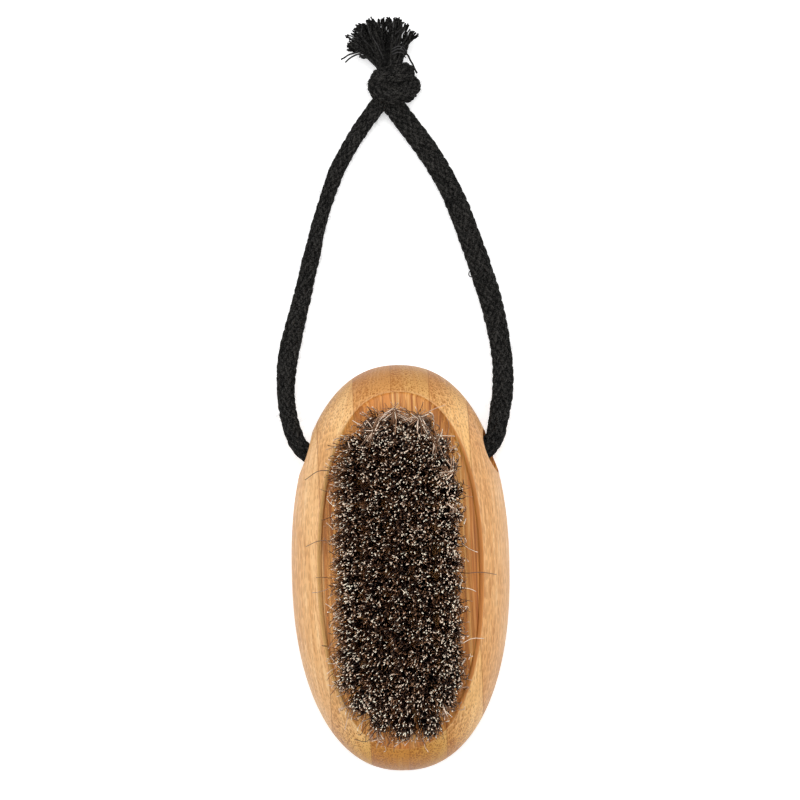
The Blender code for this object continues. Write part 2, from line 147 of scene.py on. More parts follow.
# Loose hairs at the field's edge
FIELD_REACH = (0.012, 0.033)
LOOSE_LOWER = (0.0006, 0.0060)
LOOSE_FALL = 0.012
LOOSE_BOW = 0.00085
KNEE_SCATTER = 0.00035
KNEE_SHOULDER = 0.0015
FAN_ARCH = 0.0002
FAN_BELOW_TIPS = 0.0003

# Braided cord, a hollow braid that lies broad in some places and narrow in others
CORD_DIAMETER = 0.0038
BRAID_CARRIERS = 16
BRAID_LAY = 0.0340
BRAID_STEP = 0.00034
BRAID_LIFT = 0.00022
BRAID_ROUGHNESS = 0.00007
LUMP_LENGTH = 0.0016
KNOT_LAY = 0.0240
KNOT_ROUGHNESS = 0.00013
CARRIER_HALF_WIDTH = 0.00032
CARRIER_HALF_THICKNESS = 0.00019
CARRIER_SIDES = 8
COTTON_RELIEF = 0.00010
LEFT_HALF_WIDTHS = (
    (0.0250, 0.00199), (0.0372, 0.00199), (0.0426, 0.00216), (0.0490, 0.00239), (0.0534, 0.00226),
    (0.0588, 0.00209), (0.0642, 0.00196), (0.0696, 0.00195), (0.0750, 0.00176), (0.0820, 0.00165),
    (0.0886, 0.00176), (0.0940, 0.00179), (0.1020, 0.00191),
)
RIGHT_HALF_WIDTHS = (
    (0.0250, 0.00204), (0.0372, 0.00237), (0.0480, 0.00240), (0.0560, 0.00249), (0.0620, 0.00261),
    (0.0750, 0.00256), (0.0860, 0.00247), (0.0940, 0.00253), (0.1020, 0.00249),
)
CORD_SEED = 11
LEFT_ROUTE = (
    (-0.0120, 0.0241, 0.0105), (-0.0158, 0.0241, 0.0105), (-0.0180, 0.0245, 0.0105),
    (-0.0201, 0.0255, 0.0104), (-0.0218, 0.0272, 0.0102), (-0.0230, 0.0294, 0.0098),
    (-0.0240, 0.0325, 0.0089), (-0.0247, 0.0361, 0.0075), (-0.0250, 0.0400, 0.0057),
    (-0.0249, 0.0440, 0.0039), (-0.0243, 0.0483, 0.0026), (-0.0231, 0.0532, 0.0021),
    (-0.0213, 0.0601, 0.0020), (-0.0201, 0.0650, 0.0020), (-0.0186, 0.0707, 0.0020),
    (-0.0172, 0.0764, 0.0020), (-0.0154, 0.0821, 0.0020), (-0.0133, 0.0879, 0.0021),
    (-0.0103, 0.0936, 0.0025), (-0.0066, 0.0992, 0.0032), (-0.0042, 0.1023, 0.0037),
)
RIGHT_ROUTE = (
    (0.0120, 0.0241, 0.0105), (0.0146, 0.0241, 0.0105), (0.0169, 0.0245, 0.0105),
    (0.0190, 0.0255, 0.0104), (0.0206, 0.0271, 0.0103), (0.0216, 0.0290, 0.0101),
    (0.0221, 0.0313, 0.0095), (0.0227, 0.0340, 0.0085), (0.0232, 0.0368, 0.0071),
    (0.0236, 0.0398, 0.0056), (0.0238, 0.0432, 0.0041), (0.0236, 0.0470, 0.0028),
    (0.0228, 0.0526, 0.0021), (0.0217, 0.0579, 0.0020), (0.0202, 0.0632, 0.0020),
    (0.0187, 0.0683, 0.0020), (0.0169, 0.0735, 0.0020), (0.0150, 0.0788, 0.0020),
    (0.0129, 0.0840, 0.0020), (0.0102, 0.0892, 0.0022), (0.0069, 0.0944, 0.0026),
    (0.0033, 0.0992, 0.0032), (0.0011, 0.1022, 0.0037),
)
ROUND_WITHIN = 0.015
ROUND_FADE = 0.005
ROUND_BELOW = 0.030
KNOT_ENTRY = 0.0034
LINT_RADIUS = 0.000016
LINT_LENGTH = 0.00034
LINT_ON_CORD = 4200
LINT_ON_KNOT_TURN = 400
SNAG_RADIUS = 0.000128

# Knot
KNOT_CENTRE = np.array((0.0004, 0.1080, 0.0043))
KNOT_REACH = np.array((0.0044, 0.0026, 0.0024))
# The knot's turns of cord, as half width, half thickness and the route in shares of the knot's reach
KNOT_TURNS = (
    (0.00212, 0.00195, (
        (0.41, 0.73, -0.67), (0.61, 0.88, -0.17), (0.61, 1.02, 0.38), (0.34, 0.90, 0.88),
        (-0.05, 0.74, 1.04), (-0.45, 0.62, 0.96), (-0.72, 0.50, 0.60), (-0.80, 0.36, 0.05),
        (-0.62, 0.20, -0.60),
    )),
    (0.00186, 0.00190, (
        (-0.55, 0.10, -0.75), (-0.84, 0.02, -0.20), (-0.93, -0.14, 0.34), (-0.80, -0.48, 0.76),
        (-0.45, -0.86, 1.00), (0.00, -1.02, 1.08), (0.45, -0.90, 1.00), (0.80, -0.54, 0.71),
        (0.95, -0.16, 0.17), (0.86, 0.10, -0.38), (0.55, 0.19, -0.75),
    )),
    (0.00190, 0.00175, (
        (0.82, -0.75, 0.00), (0.59, -0.80, -0.60), (0.14, -0.82, -0.82), (-0.43, -0.78, -0.79),
        (-0.80, -0.60, -0.58), (-0.90, -0.08, -0.46), (-0.80, 0.45, -0.58), (-0.43, 0.68, -0.79),
        (0.05, 0.76, -0.82), (0.43, 0.83, -0.55),
    )),
)
KNOT_CORE_SHARES = (0.80, 0.98)

# Tassel, its bundles as (degrees to the left, reach, yarns, spread in degrees)
TASSEL_NECK = np.array((0.0000, 0.1100, 0.0045))
TASSEL_HUB = np.array((-0.0007, 0.1130, 0.0047))
NECK_HALF = (0.0029, 0.0021)
BUNDLES = (
    (77, 0.0066, 16, 6), (64, 0.0099, 20, 3), (57, 0.0096, 29, 7), (47, 0.0103, 34, 7),
    (37, 0.0107, 42, 8), (27, 0.0102, 42, 8), (17, 0.0101, 36, 6), (8, 0.0082, 24, 6),
    (-1, 0.0099, 32, 5), (-10, 0.0094, 36, 7), (-20, 0.0090, 26, 6), (-29, 0.0096, 5, 3),
    (-39, 0.0093, 7, 4), (-48, 0.0088, 14, 5),
)
NECK_BELOW_HUB = 0.0012
TASSEL_RISE = 0.0036
YARN_BELLY = (0.0008, 0.0007)
TASSEL_YARN_RADIUS = 0.00020
YARN_POINTS = 30
YARN_SIDES = 6
CRINKLE_HEIGHT = 0.00013
CRINKLE_LENGTH = 0.0023
TASSEL_SWAY = 0.00040
CLUMP_YARNS = 6


# Helpers for node materials

def linear(tone):
    """A shader colour from a tone in 0 to 255 screen values."""
    shares = [value / 255 for value in tone]
    return (*[s / 12.92 if s <= 0.04045 else ((s + 0.055) / 1.055) ** 2.4 for s in shares], 1.0)


class Paint:
    """Short calls for the nodes of one material or world."""

    def __init__(self, name, kind="materials", surface="Principled BSDF"):
        self.made = getattr(bpy.data, kind).new(name)
        self.made.use_nodes = True
        self.tree = self.made.node_tree
        self.surface = self.tree.nodes[surface]

    def node(self, kind, inputs, **settings):
        made = self.tree.nodes.new(kind)
        for name, value in settings.items():
            setattr(made, name, value)
        for key, value in inputs.items():
            self.join(value, made.inputs[key])
        return made

    def join(self, value, socket):
        if isinstance(value, bpy.types.NodeSocket):
            self.tree.links.new(value, socket)
        else:
            socket.default_value = value

    def math(self, operation, *values, clamp=False):
        inputs = dict(enumerate(values))
        return self.node("ShaderNodeMath", inputs, operation=operation, use_clamp=clamp).outputs[0]

    def times(self, value, factor, plus=None):
        """The value times the factor, plus another value if one is given."""
        if plus is None:
            return self.math("MULTIPLY", value, factor)
        return self.math("MULTIPLY_ADD", value, factor, plus)

    def places(self):
        """Object places in millimetres, as x, y and z."""
        inputs = {0: self.node("ShaderNodeTexCoord", {}).outputs["Object"], "Scale": MM}
        scaled = self.node("ShaderNodeVectorMath", inputs, operation="SCALE").outputs[0]
        return self.node("ShaderNodeSeparateXYZ", {0: scaled}).outputs

    def vector(self, x, y, z):
        return self.node("ShaderNodeCombineXYZ", {0: x, 1: y, 2: z}).outputs[0]

    def noise(self, vector, scale, detail=2.0, roughness=0.5):
        inputs = {"Vector": vector, "Scale": scale, "Detail": detail, "Roughness": roughness}
        return self.node("ShaderNodeTexNoise", inputs).outputs["Fac"]

    def ramp(self, value, stops, interpolation="LINEAR"):
        """Tones that change at (position, tone) stops."""
        made = self.node("ShaderNodeValToRGB", {"Fac": value})
        made.color_ramp.interpolation = interpolation
        elements = made.color_ramp.elements
        while len(elements) < len(stops):
            elements.new(1.0)
        for element, (position, tone) in zip(elements, stops):
            element.position = position
            element.color = linear(tone)
        return made.outputs["Color"]

    def fade(self, value, low, high, to_low=0.0, to_high=1.0):
        """A smooth step from to_low at low to to_high at high."""
        inputs = {"Value": value, "From Min": low, "From Max": high, "To Min": to_low, "To Max": to_high}
        return self.node("ShaderNodeMapRange", inputs, interpolation_type="SMOOTHSTEP").outputs["Result"]

    def blend(self, share, first, second, kind="MIX"):
        made = self.node("ShaderNodeMix", {}, data_type="RGBA", blend_type=kind)
        for value, socket in ((share, 0), (first, 6), (second, 7)):
            self.join(value, made.inputs[socket])
        return made.outputs[2]

    def tint(self, share, colour, tone, kind="MIX"):
        return self.blend(share, colour, linear(tone), kind)

    def attribute(self, name):
        return self.node("ShaderNodeAttribute", {}, attribute_name=name).outputs["Fac"]

    def bump(self, height, depth, strength):
        inputs = {"Height": height, "Distance": depth, "Strength": strength}
        self.set("Normal", self.node("ShaderNodeBump", inputs).outputs[0])

    def set(self, socket, value):
        self.join(value, self.surface.inputs[socket])


def grain_places(paint, x, y, z):
    """Places across the strips, then across and along the surface as if it were rolled out flat."""
    normal = paint.node("ShaderNodeNewGeometry", {}).outputs["Normal"]
    facing = paint.node("ShaderNodeSeparateXYZ", {0: normal}).outputs
    bow = paint.noise(paint.vector(0.0, paint.times(y, 0.05), 0.0), 1.0)
    lean = paint.times(y, STRIP_LEAN, STRIP_START)
    across = paint.math("ADD", x, paint.times(bow, STRIP_BOW, lean))
    below = paint.math("SUBTRACT", MM * RIDGE_HEIGHT, z)
    wide = paint.times(below, facing[0], across)
    long = paint.times(below, facing[1], y)
    return across, wide, long


def bamboo(name, tones, look):
    """Laminated bamboo: strips of several tones, with long streaks and marks of cut fibres."""
    paint = Paint(name)
    x, y, z = paint.places()
    across, wide, long = grain_places(paint, x, y, z)
    share = paint.math("FRACT", paint.times(across, 1 / STRIP_WIDTH))
    lines = paint.vector(paint.times(wide, FINE_GRAIN), paint.times(long, look["grain"]), 7.0)
    fine = paint.noise(lines, 1.0, 3.0, 0.6)
    fibre = fibre_marks(paint, wide, long, share, look)

    stops = [((start + TONE_REACH) / (2 * TONE_REACH), tone) for start, tone in tones]
    place = paint.times(across, 1 / (2 * TONE_REACH), 0.5)
    colour = paint.ramp(place, stops, "CONSTANT")
    colour = streaked(paint, colour, share, (y, wide, long), fine, look)
    ends = paint.fade(y, *MARK_ENDS, *look["ends"])
    strength = paint.fade(paint.math("ABSOLUTE", y), *MARK_FADE, look["middle"], ends)
    colour = paint.tint(paint.times(fibre, strength), colour, look["mark"])
    from_glue = paint.math("PINGPONG", paint.math("ADD", across, STRIP_WIDTH / 2), STRIP_WIDTH / 2)
    colour = paint.tint(paint.fade(from_glue, *GLUE_FADE, 0.0, 0.50), colour, look["mark"])
    # Painted light on the bed's wall, lifting the shade that the rim and bristles put there: paler on
    # the left wall, more orange on the right
    if "wall" in look:
        edge = paint.tint(paint.fade(x, -1.0, 1.0), linear(look["left_edge"]), look["right_edge"])
        colour = paint.blend(paint.fade(z, *PAINTED_WALL_LIGHT_FADE, 0.0, look["wall"]), colour, edge)

    paint.set("Base Color", colour)
    paint.set("Specular IOR Level", 0.36)
    paint.set("Roughness", paint.fade(fine, 0.3, 0.7, look["gloss"], look["gloss"] + 0.14))
    paint.bump(paint.math("SUBTRACT", paint.times(fine, 0.6), fibre), FIBRE_RELIEF, look["relief"])
    return paint.made


def streaked(paint, colour, share, places, fine, look):
    """The strips' tones with a denser side, streaks along the board, and board ends darkened partly for
    end grain and partly as painted shade.
    """
    y, wide, long = places
    bands = paint.vector(paint.times(wide, BROAD_GRAIN[0]), paint.times(long, BROAD_GRAIN[1]), 0.0)
    broad = paint.noise(bands, 1.0, 3.0)
    from_middle = paint.math("ABSOLUTE", y)
    streak = paint.fade(from_middle, *STREAK_FADE, look["streak"], look["end_streak"])
    dark_line = paint.times(paint.fade(fine, 0.46, 0.66), streak)
    light_line = paint.times(paint.fade(fine, 0.48, 0.30, 0.0, 0.7), streak)
    colour = paint.tint(paint.fade(share, 0.75, 0.0, 0.0, look["dense"]), colour, look["shade"])
    colour = paint.tint(paint.fade(broad, 0.35, 0.68, 0.0, 0.5), colour, look["shade"])
    colour = paint.tint(dark_line, colour, look["line"])
    colour = paint.tint(light_line, colour, look["light"])
    # Darker towards both board ends: partly the end grain's own tone, partly painted shade where the
    # ends slope away from the light
    colour = paint.tint(paint.fade(from_middle, *END_SHADE_FADE), colour, look["end"], "MULTIPLY")
    # Painted shade towards the low end of the board, which the light reaches less
    return paint.tint(paint.fade(y, *LOW_END_SHADE_FADE), colour, look["low"], "MULTIPLY")


def fibre_marks(paint, wide, long, share, look):
    """Cut fibre bundles: dashes along the board, which shorten to dots towards its ends."""
    shift = paint.noise(paint.vector(paint.times(wide, 0.5), paint.times(long, 0.08), 3.0), 1.0, 2.0)
    place = paint.times(shift, look["drift"], paint.times(wide, FIBRES_PER_MM))
    slant = paint.times(paint.times(long, long), 1 / DOTS_FROM_MIDDLE**2, 1.0)
    ranks = paint.times(paint.times(long, look["dash"]), slant)
    inputs = {"Vector": paint.vector(place, ranks, 0.0), "Scale": 1.0, "Randomness": 0.9}
    cells = paint.node("ShaderNodeTexVoronoi", inputs, voronoi_dimensions="2D")
    size = paint.node("ShaderNodeSeparateColor", {0: cells.outputs["Color"]})
    crowd = paint.fade(share, 0.15, 0.95, 0.52, 0.28)
    reach = paint.times(crowd, paint.times(size.outputs[0], 0.7, 0.5))
    gap = paint.math("SUBTRACT", cells.outputs["Distance"], reach)
    strength = paint.times(size.outputs[1], 0.60, 0.45)
    return paint.times(paint.fade(gap, 0.05, -0.05), strength)


# Where each tone of the bamboo starts, in millimetres across, and the tone
RIM_TONES = (
    (-25.0, (244, 196, 138)), (-16.7, (252, 208, 146)), (-8.35, (232, 176, 110)),
    (0.0, (240, 194, 126)), (8.35, (252, 202, 132)), (16.7, (240, 188, 130)),
)
BED_TONES = (
    (-25.0, (255, 208, 138)), (-16.7, (234, 168, 90)), (-8.35, (218, 142, 64)), (0.0, (252, 202, 126)),
    (1.6, (217, 150, 75)), (8.35, (214, 144, 72)), (13.2, (204, 140, 62)), (15.6, (192, 116, 42)),
    (16.6, (216, 146, 58)), (18.4, (188, 112, 42)),
)
# In RIM and BED, end darkens the board ends, partly end grain and partly painted shade, and low is
# painted shade at the low end
RIM = dict(
    shade=(226, 164, 98), dense=0.50, line=(206, 146, 90), light=(254, 222, 172),
    streak=0.62, end_streak=0.22, grain=0.10, end=(219, 205, 180), low=(255, 245, 184),
    mark=(160, 92, 30), middle=0.42, ends=(1.0, 0.8), dash=0.42, drift=1.6,
    gloss=0.40, relief=0.30,
)
BED = dict(
    shade=(212, 138, 66), dense=0.28, line=(170, 98, 42), light=(250, 202, 126),
    streak=0.75, end_streak=0.85, grain=0.03, end=(244, 236, 224), low=(250, 244, 230),
    mark=(140, 76, 30), middle=0.60, ends=(0.65, 0.65), dash=0.05, drift=0.3,
    gloss=0.48, relief=0.50,
    # wall and the two wall tones: painted light on the bed's wall, paler on the left than on the right
    wall=0.95, left_edge=(255, 207, 135), right_edge=(246, 169, 99),
)

# Tones of the bristles' shafts by how brown they are, partly their own colour and partly painted sheen
# on leaning hairs, and of their tips by how pale
SHAFT_TONES = (
    (0.0, (14, 8, 7)), (0.40, (46, 20, 13)), (0.70, (92, 50, 32)), (1.0, (180, 130, 88)),
)
TIP_TONES = (
    (0.0, (24, 15, 12)), (0.45, (60, 38, 27)), (0.70, (118, 82, 56)),
    (0.82, (176, 135, 104)), (0.87, (242, 215, 192)), (1.0, (255, 248, 226)),
)


def bristle_material():
    """Animal bristle: dark and brown shafts, the brown partly painted sheen on leaning hairs, which turn
    pale and split at some tips.
    """
    paint = Paint("natural_bristle")
    paint.set("Roughness", 0.42)
    paint.set("Specular IOR Level", 0.4)
    shaft = paint.ramp(paint.attribute("tone"), SHAFT_TONES)
    tip = paint.ramp(paint.attribute("pale"), TIP_TONES)
    past = paint.math("SUBTRACT", paint.attribute("along"), paint.attribute("start"))
    paint.set("Base Color", paint.blend(paint.fade(past, 0.0, 0.06), shaft, tip))
    return paint.made


def cotton_material():
    """Black cotton: a braid of soft yarns with pale lint and painted light on their crowns, a painted
    highlight on the highest, and the parts that go under left in painted shade.
    """
    paint = Paint("black_cotton")
    paint.set("Roughness", 0.95)
    paint.set("Sheen Weight", 0.01)
    paint.set("Sheen Roughness", 0.5)
    paint.set("Specular IOR Level", 0.04)
    places = paint.vector(*paint.places())
    crown = paint.attribute("crown")
    turned = paint.times(paint.attribute("turn"), 5.0)
    yarns = paint.math("SINE", paint.times(paint.attribute("run"), 0.9, turned))
    lint = paint.noise(places, 3.4, 4.0, 0.75)
    worn = paint.noise(places, 0.8, 3.0)
    # Pale where the crown is high: partly lint, partly painted light on the carriers that lie on top
    crown_lint_and_light = paint.times(paint.fade(crown, 0.2, 1.2, 0.0, 0.55), paint.fade(lint, 0.38, 0.60))
    colour = paint.tint(paint.fade(lint, 0.44, 0.64), linear((2, 2, 2)), (66, 65, 63))
    colour = paint.tint(paint.fade(worn, 0.42, 0.66, 0.0, 0.55), colour, (5, 5, 5))
    colour = paint.tint(crown_lint_and_light, colour, (78, 76, 73))
    # A painted highlight on the highest crowns: the yarns that cross the neck and some tassel yarns
    colour = paint.tint(paint.fade(crown, 1.6, 4.2, 0.0, 0.8), colour, (92, 91, 92))
    paint.set("Base Color", colour)
    paint.bump(paint.times(yarns, 0.30, lint), COTTON_RELIEF, 0.9)
    return paint.made


def floor_material():
    """A matt floor, lifted to white for rays that show it: from the camera, a gloss or a clear piece."""
    paint = Paint("studio_floor")
    rays = paint.node("ShaderNodeLightPath", {}).outputs
    seen = paint.math("ADD", rays["Is Camera Ray"], rays["Is Glossy Ray"])
    seen = paint.math("ADD", seen, rays["Is Transmission Ray"], clamp=True)
    paint.set("Roughness", 0.9)
    paint.set("Specular IOR Level", 0.0)
    paint.set("Base Color", (FLOOR_ALBEDO, FLOOR_ALBEDO, FLOOR_ALBEDO, 1.0))
    paint.set("Emission Color", (1.0, 1.0, 1.0, 1.0))
    paint.set("Emission Strength", paint.times(seen, FLOOR_LIFT))
    return paint.made


# Helpers for meshes

def link(name, data):
    obj = bpy.data.objects.new(name, data)
    bpy.context.scene.collection.objects.link(obj)
    return obj


def mesh_piece(name, places, face_sets, material, values=None):
    """A piece from arrays of places and of faces, which rides on the brush."""
    mesh = bpy.data.meshes.new(name)
    corners = np.concatenate([faces.ravel() for faces in face_sets])
    sizes = np.concatenate([np.full(len(faces), faces.shape[1]) for faces in face_sets])
    mesh.vertices.add(len(places))
    mesh.vertices.foreach_set("co", places.astype(np.float32).ravel())
    mesh.loops.add(len(corners))
    mesh.loops.foreach_set("vertex_index", corners.astype(np.int32))
    mesh.polygons.add(len(sizes))
    mesh.polygons.foreach_set("loop_start", (np.cumsum(sizes) - sizes).astype(np.int32))
    mesh.update(calc_edges=True)
    mesh.shade_smooth()
    for key, numbers in (values or {}).items():
        layer = mesh.attributes.new(key, "FLOAT", "POINT")
        layer.data.foreach_set("value", numbers.astype(np.float32).ravel())
    mesh.materials.append(material)
    obj = link(name, mesh)
    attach(obj, BODY)
    return obj


def unit(vectors):
    return vectors / np.maximum(np.linalg.norm(vectors, axis=-1, keepdims=True), 1e-12)


def sweep(curves, radii, out, sides, flat=1.0, marks=None):
    """Closed tubes along curves, an array of strands by points by 3. Side 0 faces out, or nearly."""
    strands, points = curves.shape[:2]
    ahead = unit(np.gradient(curves, axis=1))
    out = np.broadcast_to(out, curves.shape)
    first = unit(out - ahead * (out * ahead).sum(-1, keepdims=True))
    second = np.cross(ahead, first)
    turns = 2 * np.pi * np.arange(sides) / sides
    round_it = flat * np.cos(turns)[:, None] * first[:, :, None]
    round_it = round_it + np.sin(turns)[:, None] * second[:, :, None]
    places = curves[:, :, None] + np.broadcast_to(radii, (strands, points))[..., None, None] * round_it
    index = np.arange(strands * points * sides).reshape(strands, points, sides)
    after = np.roll(index, -1, axis=2)
    quads = np.stack([index[:, :-1], after[:, :-1], after[:, 1:], index[:, 1:]], axis=-1).reshape(-1, 4)
    ends = np.concatenate([index[:, 0, ::-1], index[:, -1]])
    marks = np.linspace(0, 1, points) if marks is None else marks
    kept = {"along": marks[None, :, None], "turn": turns, "strand": np.arange(strands)[:, None, None]}
    values = {key: np.broadcast_to(numbers, index.shape).ravel() for key, numbers in kept.items()}
    return places.reshape(-1, 3), [quads, ends], values


def one_crown(swept, crown):
    """A sweep whose yarns all have the same crown value."""
    places, faces, values = swept
    return places, faces, {**values, "run": values["along"], "crown": np.full(len(places), crown)}


def joined(parts):
    """Several sweeps as one, of places, quads and end faces of each size."""
    places, face_sets, values, count = [], [], {}, 0
    for more, faces, kept in parts:
        places.append(more)
        face_sets += [each + count for each in faces]
        for key, numbers in kept.items():
            values.setdefault(key, []).append(numbers)
        count += len(more)
    values = {key: np.concatenate(numbers) for key, numbers in values.items()}
    return np.concatenate(places), face_sets, values


class Path:
    """A smooth curve through a route's points. Its frame stays level, or turns as little as it can."""

    STEPS = 24

    def __init__(self, route, level=False):
        points = np.array(route, dtype=float)
        points = np.vstack([2 * points[0] - points[1], points, 2 * points[-1] - points[-2]])
        t = (np.arange(self.STEPS) / self.STEPS)[:, None]
        spans = []
        for a, b, c, d in zip(points, points[1:], points[2:], points[3:]):
            bend = (2 * a - 5 * b + 4 * c - d) * t**2 + (3 * b - a - 3 * c + d) * t**3
            spans.append((2 * b + (c - a) * t + bend) / 2)
        self.places = np.vstack([*spans, points[-2:-1]])
        runs = np.linalg.norm(np.diff(self.places, axis=0), axis=1)
        self.travelled = np.concatenate([[0], np.cumsum(runs)])
        self.length = self.travelled[-1]
        self.ahead = unit(np.gradient(self.places, axis=0))
        self.sides = np.cross(self.ahead, UP) if level else self.least_turned()
        self.ups = np.cross(self.sides, self.ahead)

    def least_turned(self):
        side = np.cross(self.ahead[0], (0.3, 0.2, 1.0))
        sides = []
        for ahead in self.ahead:
            side = unit(side - ahead * side.dot(ahead))
            sides.append(side)
        return np.array(sides)

    def pick(self, table, run):
        return np.stack([np.interp(run, self.travelled, table[:, axis]) for axis in range(3)], -1)

    def at(self, run):
        """Places, side vectors and up vectors at distances along the curve."""
        side, up = (unit(self.pick(table, run)) for table in (self.sides, self.ups))
        return self.pick(self.places, run), side, up


def braid(path, start, stop, halves, lay=BRAID_LAY, rough=BRAID_ROUGHNESS):
    """The braided cord between two distances along a path, of an oval section with these half sizes.

    Its two ways of carriers change over by place round the cord, so each goes over two and under two.
    """
    chance = np.random.default_rng(CORD_SEED)
    run = np.linspace(start, stop, max(int((stop - start) / BRAID_STEP), 12))
    centre, side, up = path.at(run)
    broad, tall = (np.broadcast_to(half, run.shape) for half in halves(centre))
    knots = np.arange(start, stop + 2 * LUMP_LENGTH, LUMP_LENGTH)
    mean = np.sqrt((broad**2 + tall**2) / 2)
    squeeze = (broad**2 - tall**2) / (broad**2 + tall**2) / 4
    inset = BRAID_LIFT + CARRIER_HALF_THICKNESS
    phase = 2 * np.pi * run / lay
    curves, outs, crowns, widths = [], [], [], []
    for way in (1, -1):
        for carrier in range(BRAID_CARRIERS):
            place = way * phase + 2 * np.pi * carrier / BRAID_CARRIERS
            turn = place + squeeze * np.sin(2 * place)
            over = way * np.cos(BRAID_CARRIERS / 2 * place - np.pi / 4)
            lump = np.interp(run, knots, chance.normal(0, rough, len(knots)))
            lift = BRAID_LIFT * np.tanh(2 * over) / math.tanh(2) + lump
            out = unit((tall * np.cos(turn))[:, None] * side + (broad * np.sin(turn))[:, None] * up)
            across = ((broad - inset) * np.cos(turn))[:, None] * side
            above = ((tall - inset) * np.sin(turn))[:, None] * up
            curves.append(centre + across + above + lift[:, None] * out)
            outs.append(out)
            # The crown value is how far a carrier lies on top; the material paints light on the top
            # parts and leaves the under parts in painted shade
            crowns.append(over + lump / BRAID_LIFT)
            widths.append(CARRIER_HALF_WIDTH * 2 * mean / CORD_DIAMETER * chance.uniform(0.88, 1.14))
    flat = CARRIER_HALF_THICKNESS / CARRIER_HALF_WIDTH
    carriers = sweep(np.array(curves), np.array(widths), np.array(outs), CARRIER_SIDES, flat)
    carriers[2]["crown"] = np.repeat(np.array(crowns).ravel(), CARRIER_SIDES)
    core = one_crown(sweep(centre[None], tall - 2.2 * inset, side[None], 12), -1.0)
    for *_, values in (carriers, core):
        values["run"] = MM * (start + (stop - start) * values["along"])
    return joined([carriers, core])


def lint(path, count, chance, halves):
    """Short fibres that stand off the cord, a few of them long and curled."""
    run = chance.uniform(0.0, path.length, count)
    centre, side, up = path.at(run)
    broad, tall = (np.broadcast_to(half, run.shape) for half in halves(centre))
    turn = chance.uniform(0, 2 * np.pi, count)
    out = (broad * np.cos(turn))[:, None] * side + (tall * np.sin(turn))[:, None] * up
    drift, curl = unit(chance.normal(size=(2, count, 3)))
    length = chance.gamma(2.0, LINT_LENGTH / 2, count)[:, None] + LINT_LENGTH / 2
    length *= np.where(chance.uniform(size=(count, 1)) > 0.94, 2.4, 1.0)
    steps = np.linspace(0, 1, 6)[None, :, None]
    root = centre + out * 0.90
    reach = unit(out)[:, None] * length[:, None] * steps * 0.7
    bend = drift[:, None] * length[:, None] * steps**2
    bend = bend + curl[:, None] * length[:, None] * 0.25 * np.sin(5 * steps)
    curves = root[:, None] + reach + bend
    curves[:, :, 2] = np.maximum(curves[:, :, 2], LINT_RADIUS)
    return one_crown(sweep(curves, LINT_RADIUS, drift[:, None], 3), 1.0)


# Pieces

def block_outline(inset):
    low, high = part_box("handle_block")
    half = (np.array(high) - np.array(low))[:2] / 2 - inset
    turn = 2 * np.pi * np.arange(OUTLINE_SEGMENTS) / OUTLINE_SEGMENTS
    power = 2 / OUTLINE_POWER
    across = np.copysign(np.abs(np.cos(turn)) ** power, np.cos(turn))
    along = np.copysign(np.abs(np.sin(turn)) ** power, np.sin(turn))
    return np.stack([half[0] * across, half[1] * along], -1)


def block_rings():
    """(inset, height) of each ring of the block from its back up, and which ring is on the crest."""
    turn = np.pi / 2 * (1 - np.arange(BACK_RINGS) / BACK_RINGS)
    rings = [*zip(BACK_INSET * (1 - np.cos(turn)), WAIST_HEIGHT * (1 - np.sin(turn)))]
    run = (RIM_WIDTH - RIDGE_ROUND) / (1 - math.cos(RIM_SWEEP))
    rise = (RIDGE_HEIGHT - RIDGE_ROUND / 2 - WAIST_HEIGHT) / math.sin(RIM_SWEEP)
    turn = RIM_SWEEP * np.arange(RIM_RINGS + 1) / RIM_RINGS
    rings += [*zip(run * (1 - np.cos(turn)), WAIST_HEIGHT + rise * np.sin(turn))]
    start = np.array(rings[-1])
    corner = np.array((RIM_WIDTH, RIDGE_HEIGHT))
    stop = np.array((RIM_WIDTH + RIDGE_ROUND, RIDGE_HEIGHT - RIDGE_ROUND))
    crest = len(rings) + RIDGE_RINGS // 2
    for t in np.arange(1, RIDGE_RINGS + 1) / RIDGE_RINGS:
        rings.append(tuple((1 - t) ** 2 * start + 2 * t * (1 - t) * corner + t**2 * stop))
    return rings, crest


def crowned(places, height):
    """Places of a ring, let down towards the ends of the block."""
    lift = max(height - WAIST_HEIGHT, 0) / (RIDGE_HEIGHT - WAIST_HEIGHT)
    drop = (BED_DEPTH - BED_END_STEP) * lift * (places[:, 1] / RIDGE_FROM_MIDDLE) ** 2
    return np.column_stack([places, height - drop])


def tuft_rows():
    """(row number, the row's x places, its y place) of the bristle field."""
    for row in range(ROW_COUNT):
        from_end = min(row, ROW_COUNT - 1 - row, len(ROW_REACHES) - 1)
        reach = ROW_REACHES[from_end]
        count = 3 if from_end == 0 else 5
        places = FIELD_OFFSET + np.linspace(-reach, reach, count)
        yield row, places, (row - (ROW_COUNT - 1) / 2) * ROW_PITCH


def cylinders(name, places, radius, depth, segments, material, turn=None):
    """Cylinders joined in one cutter."""
    bm = bmesh.new()
    for place in places:
        made = bmesh.ops.create_cone(
            bm, cap_ends=True, segments=segments, radius1=radius, radius2=radius, depth=depth
        )["verts"]
        if turn is not None:
            bmesh.ops.rotate(bm, verts=made, matrix=turn)
        bmesh.ops.translate(bm, verts=made, vec=place)
    mesh = bpy.data.meshes.new(name)
    bm.to_mesh(mesh)
    bm.free()
    mesh.materials.append(material)
    return link(name, mesh)


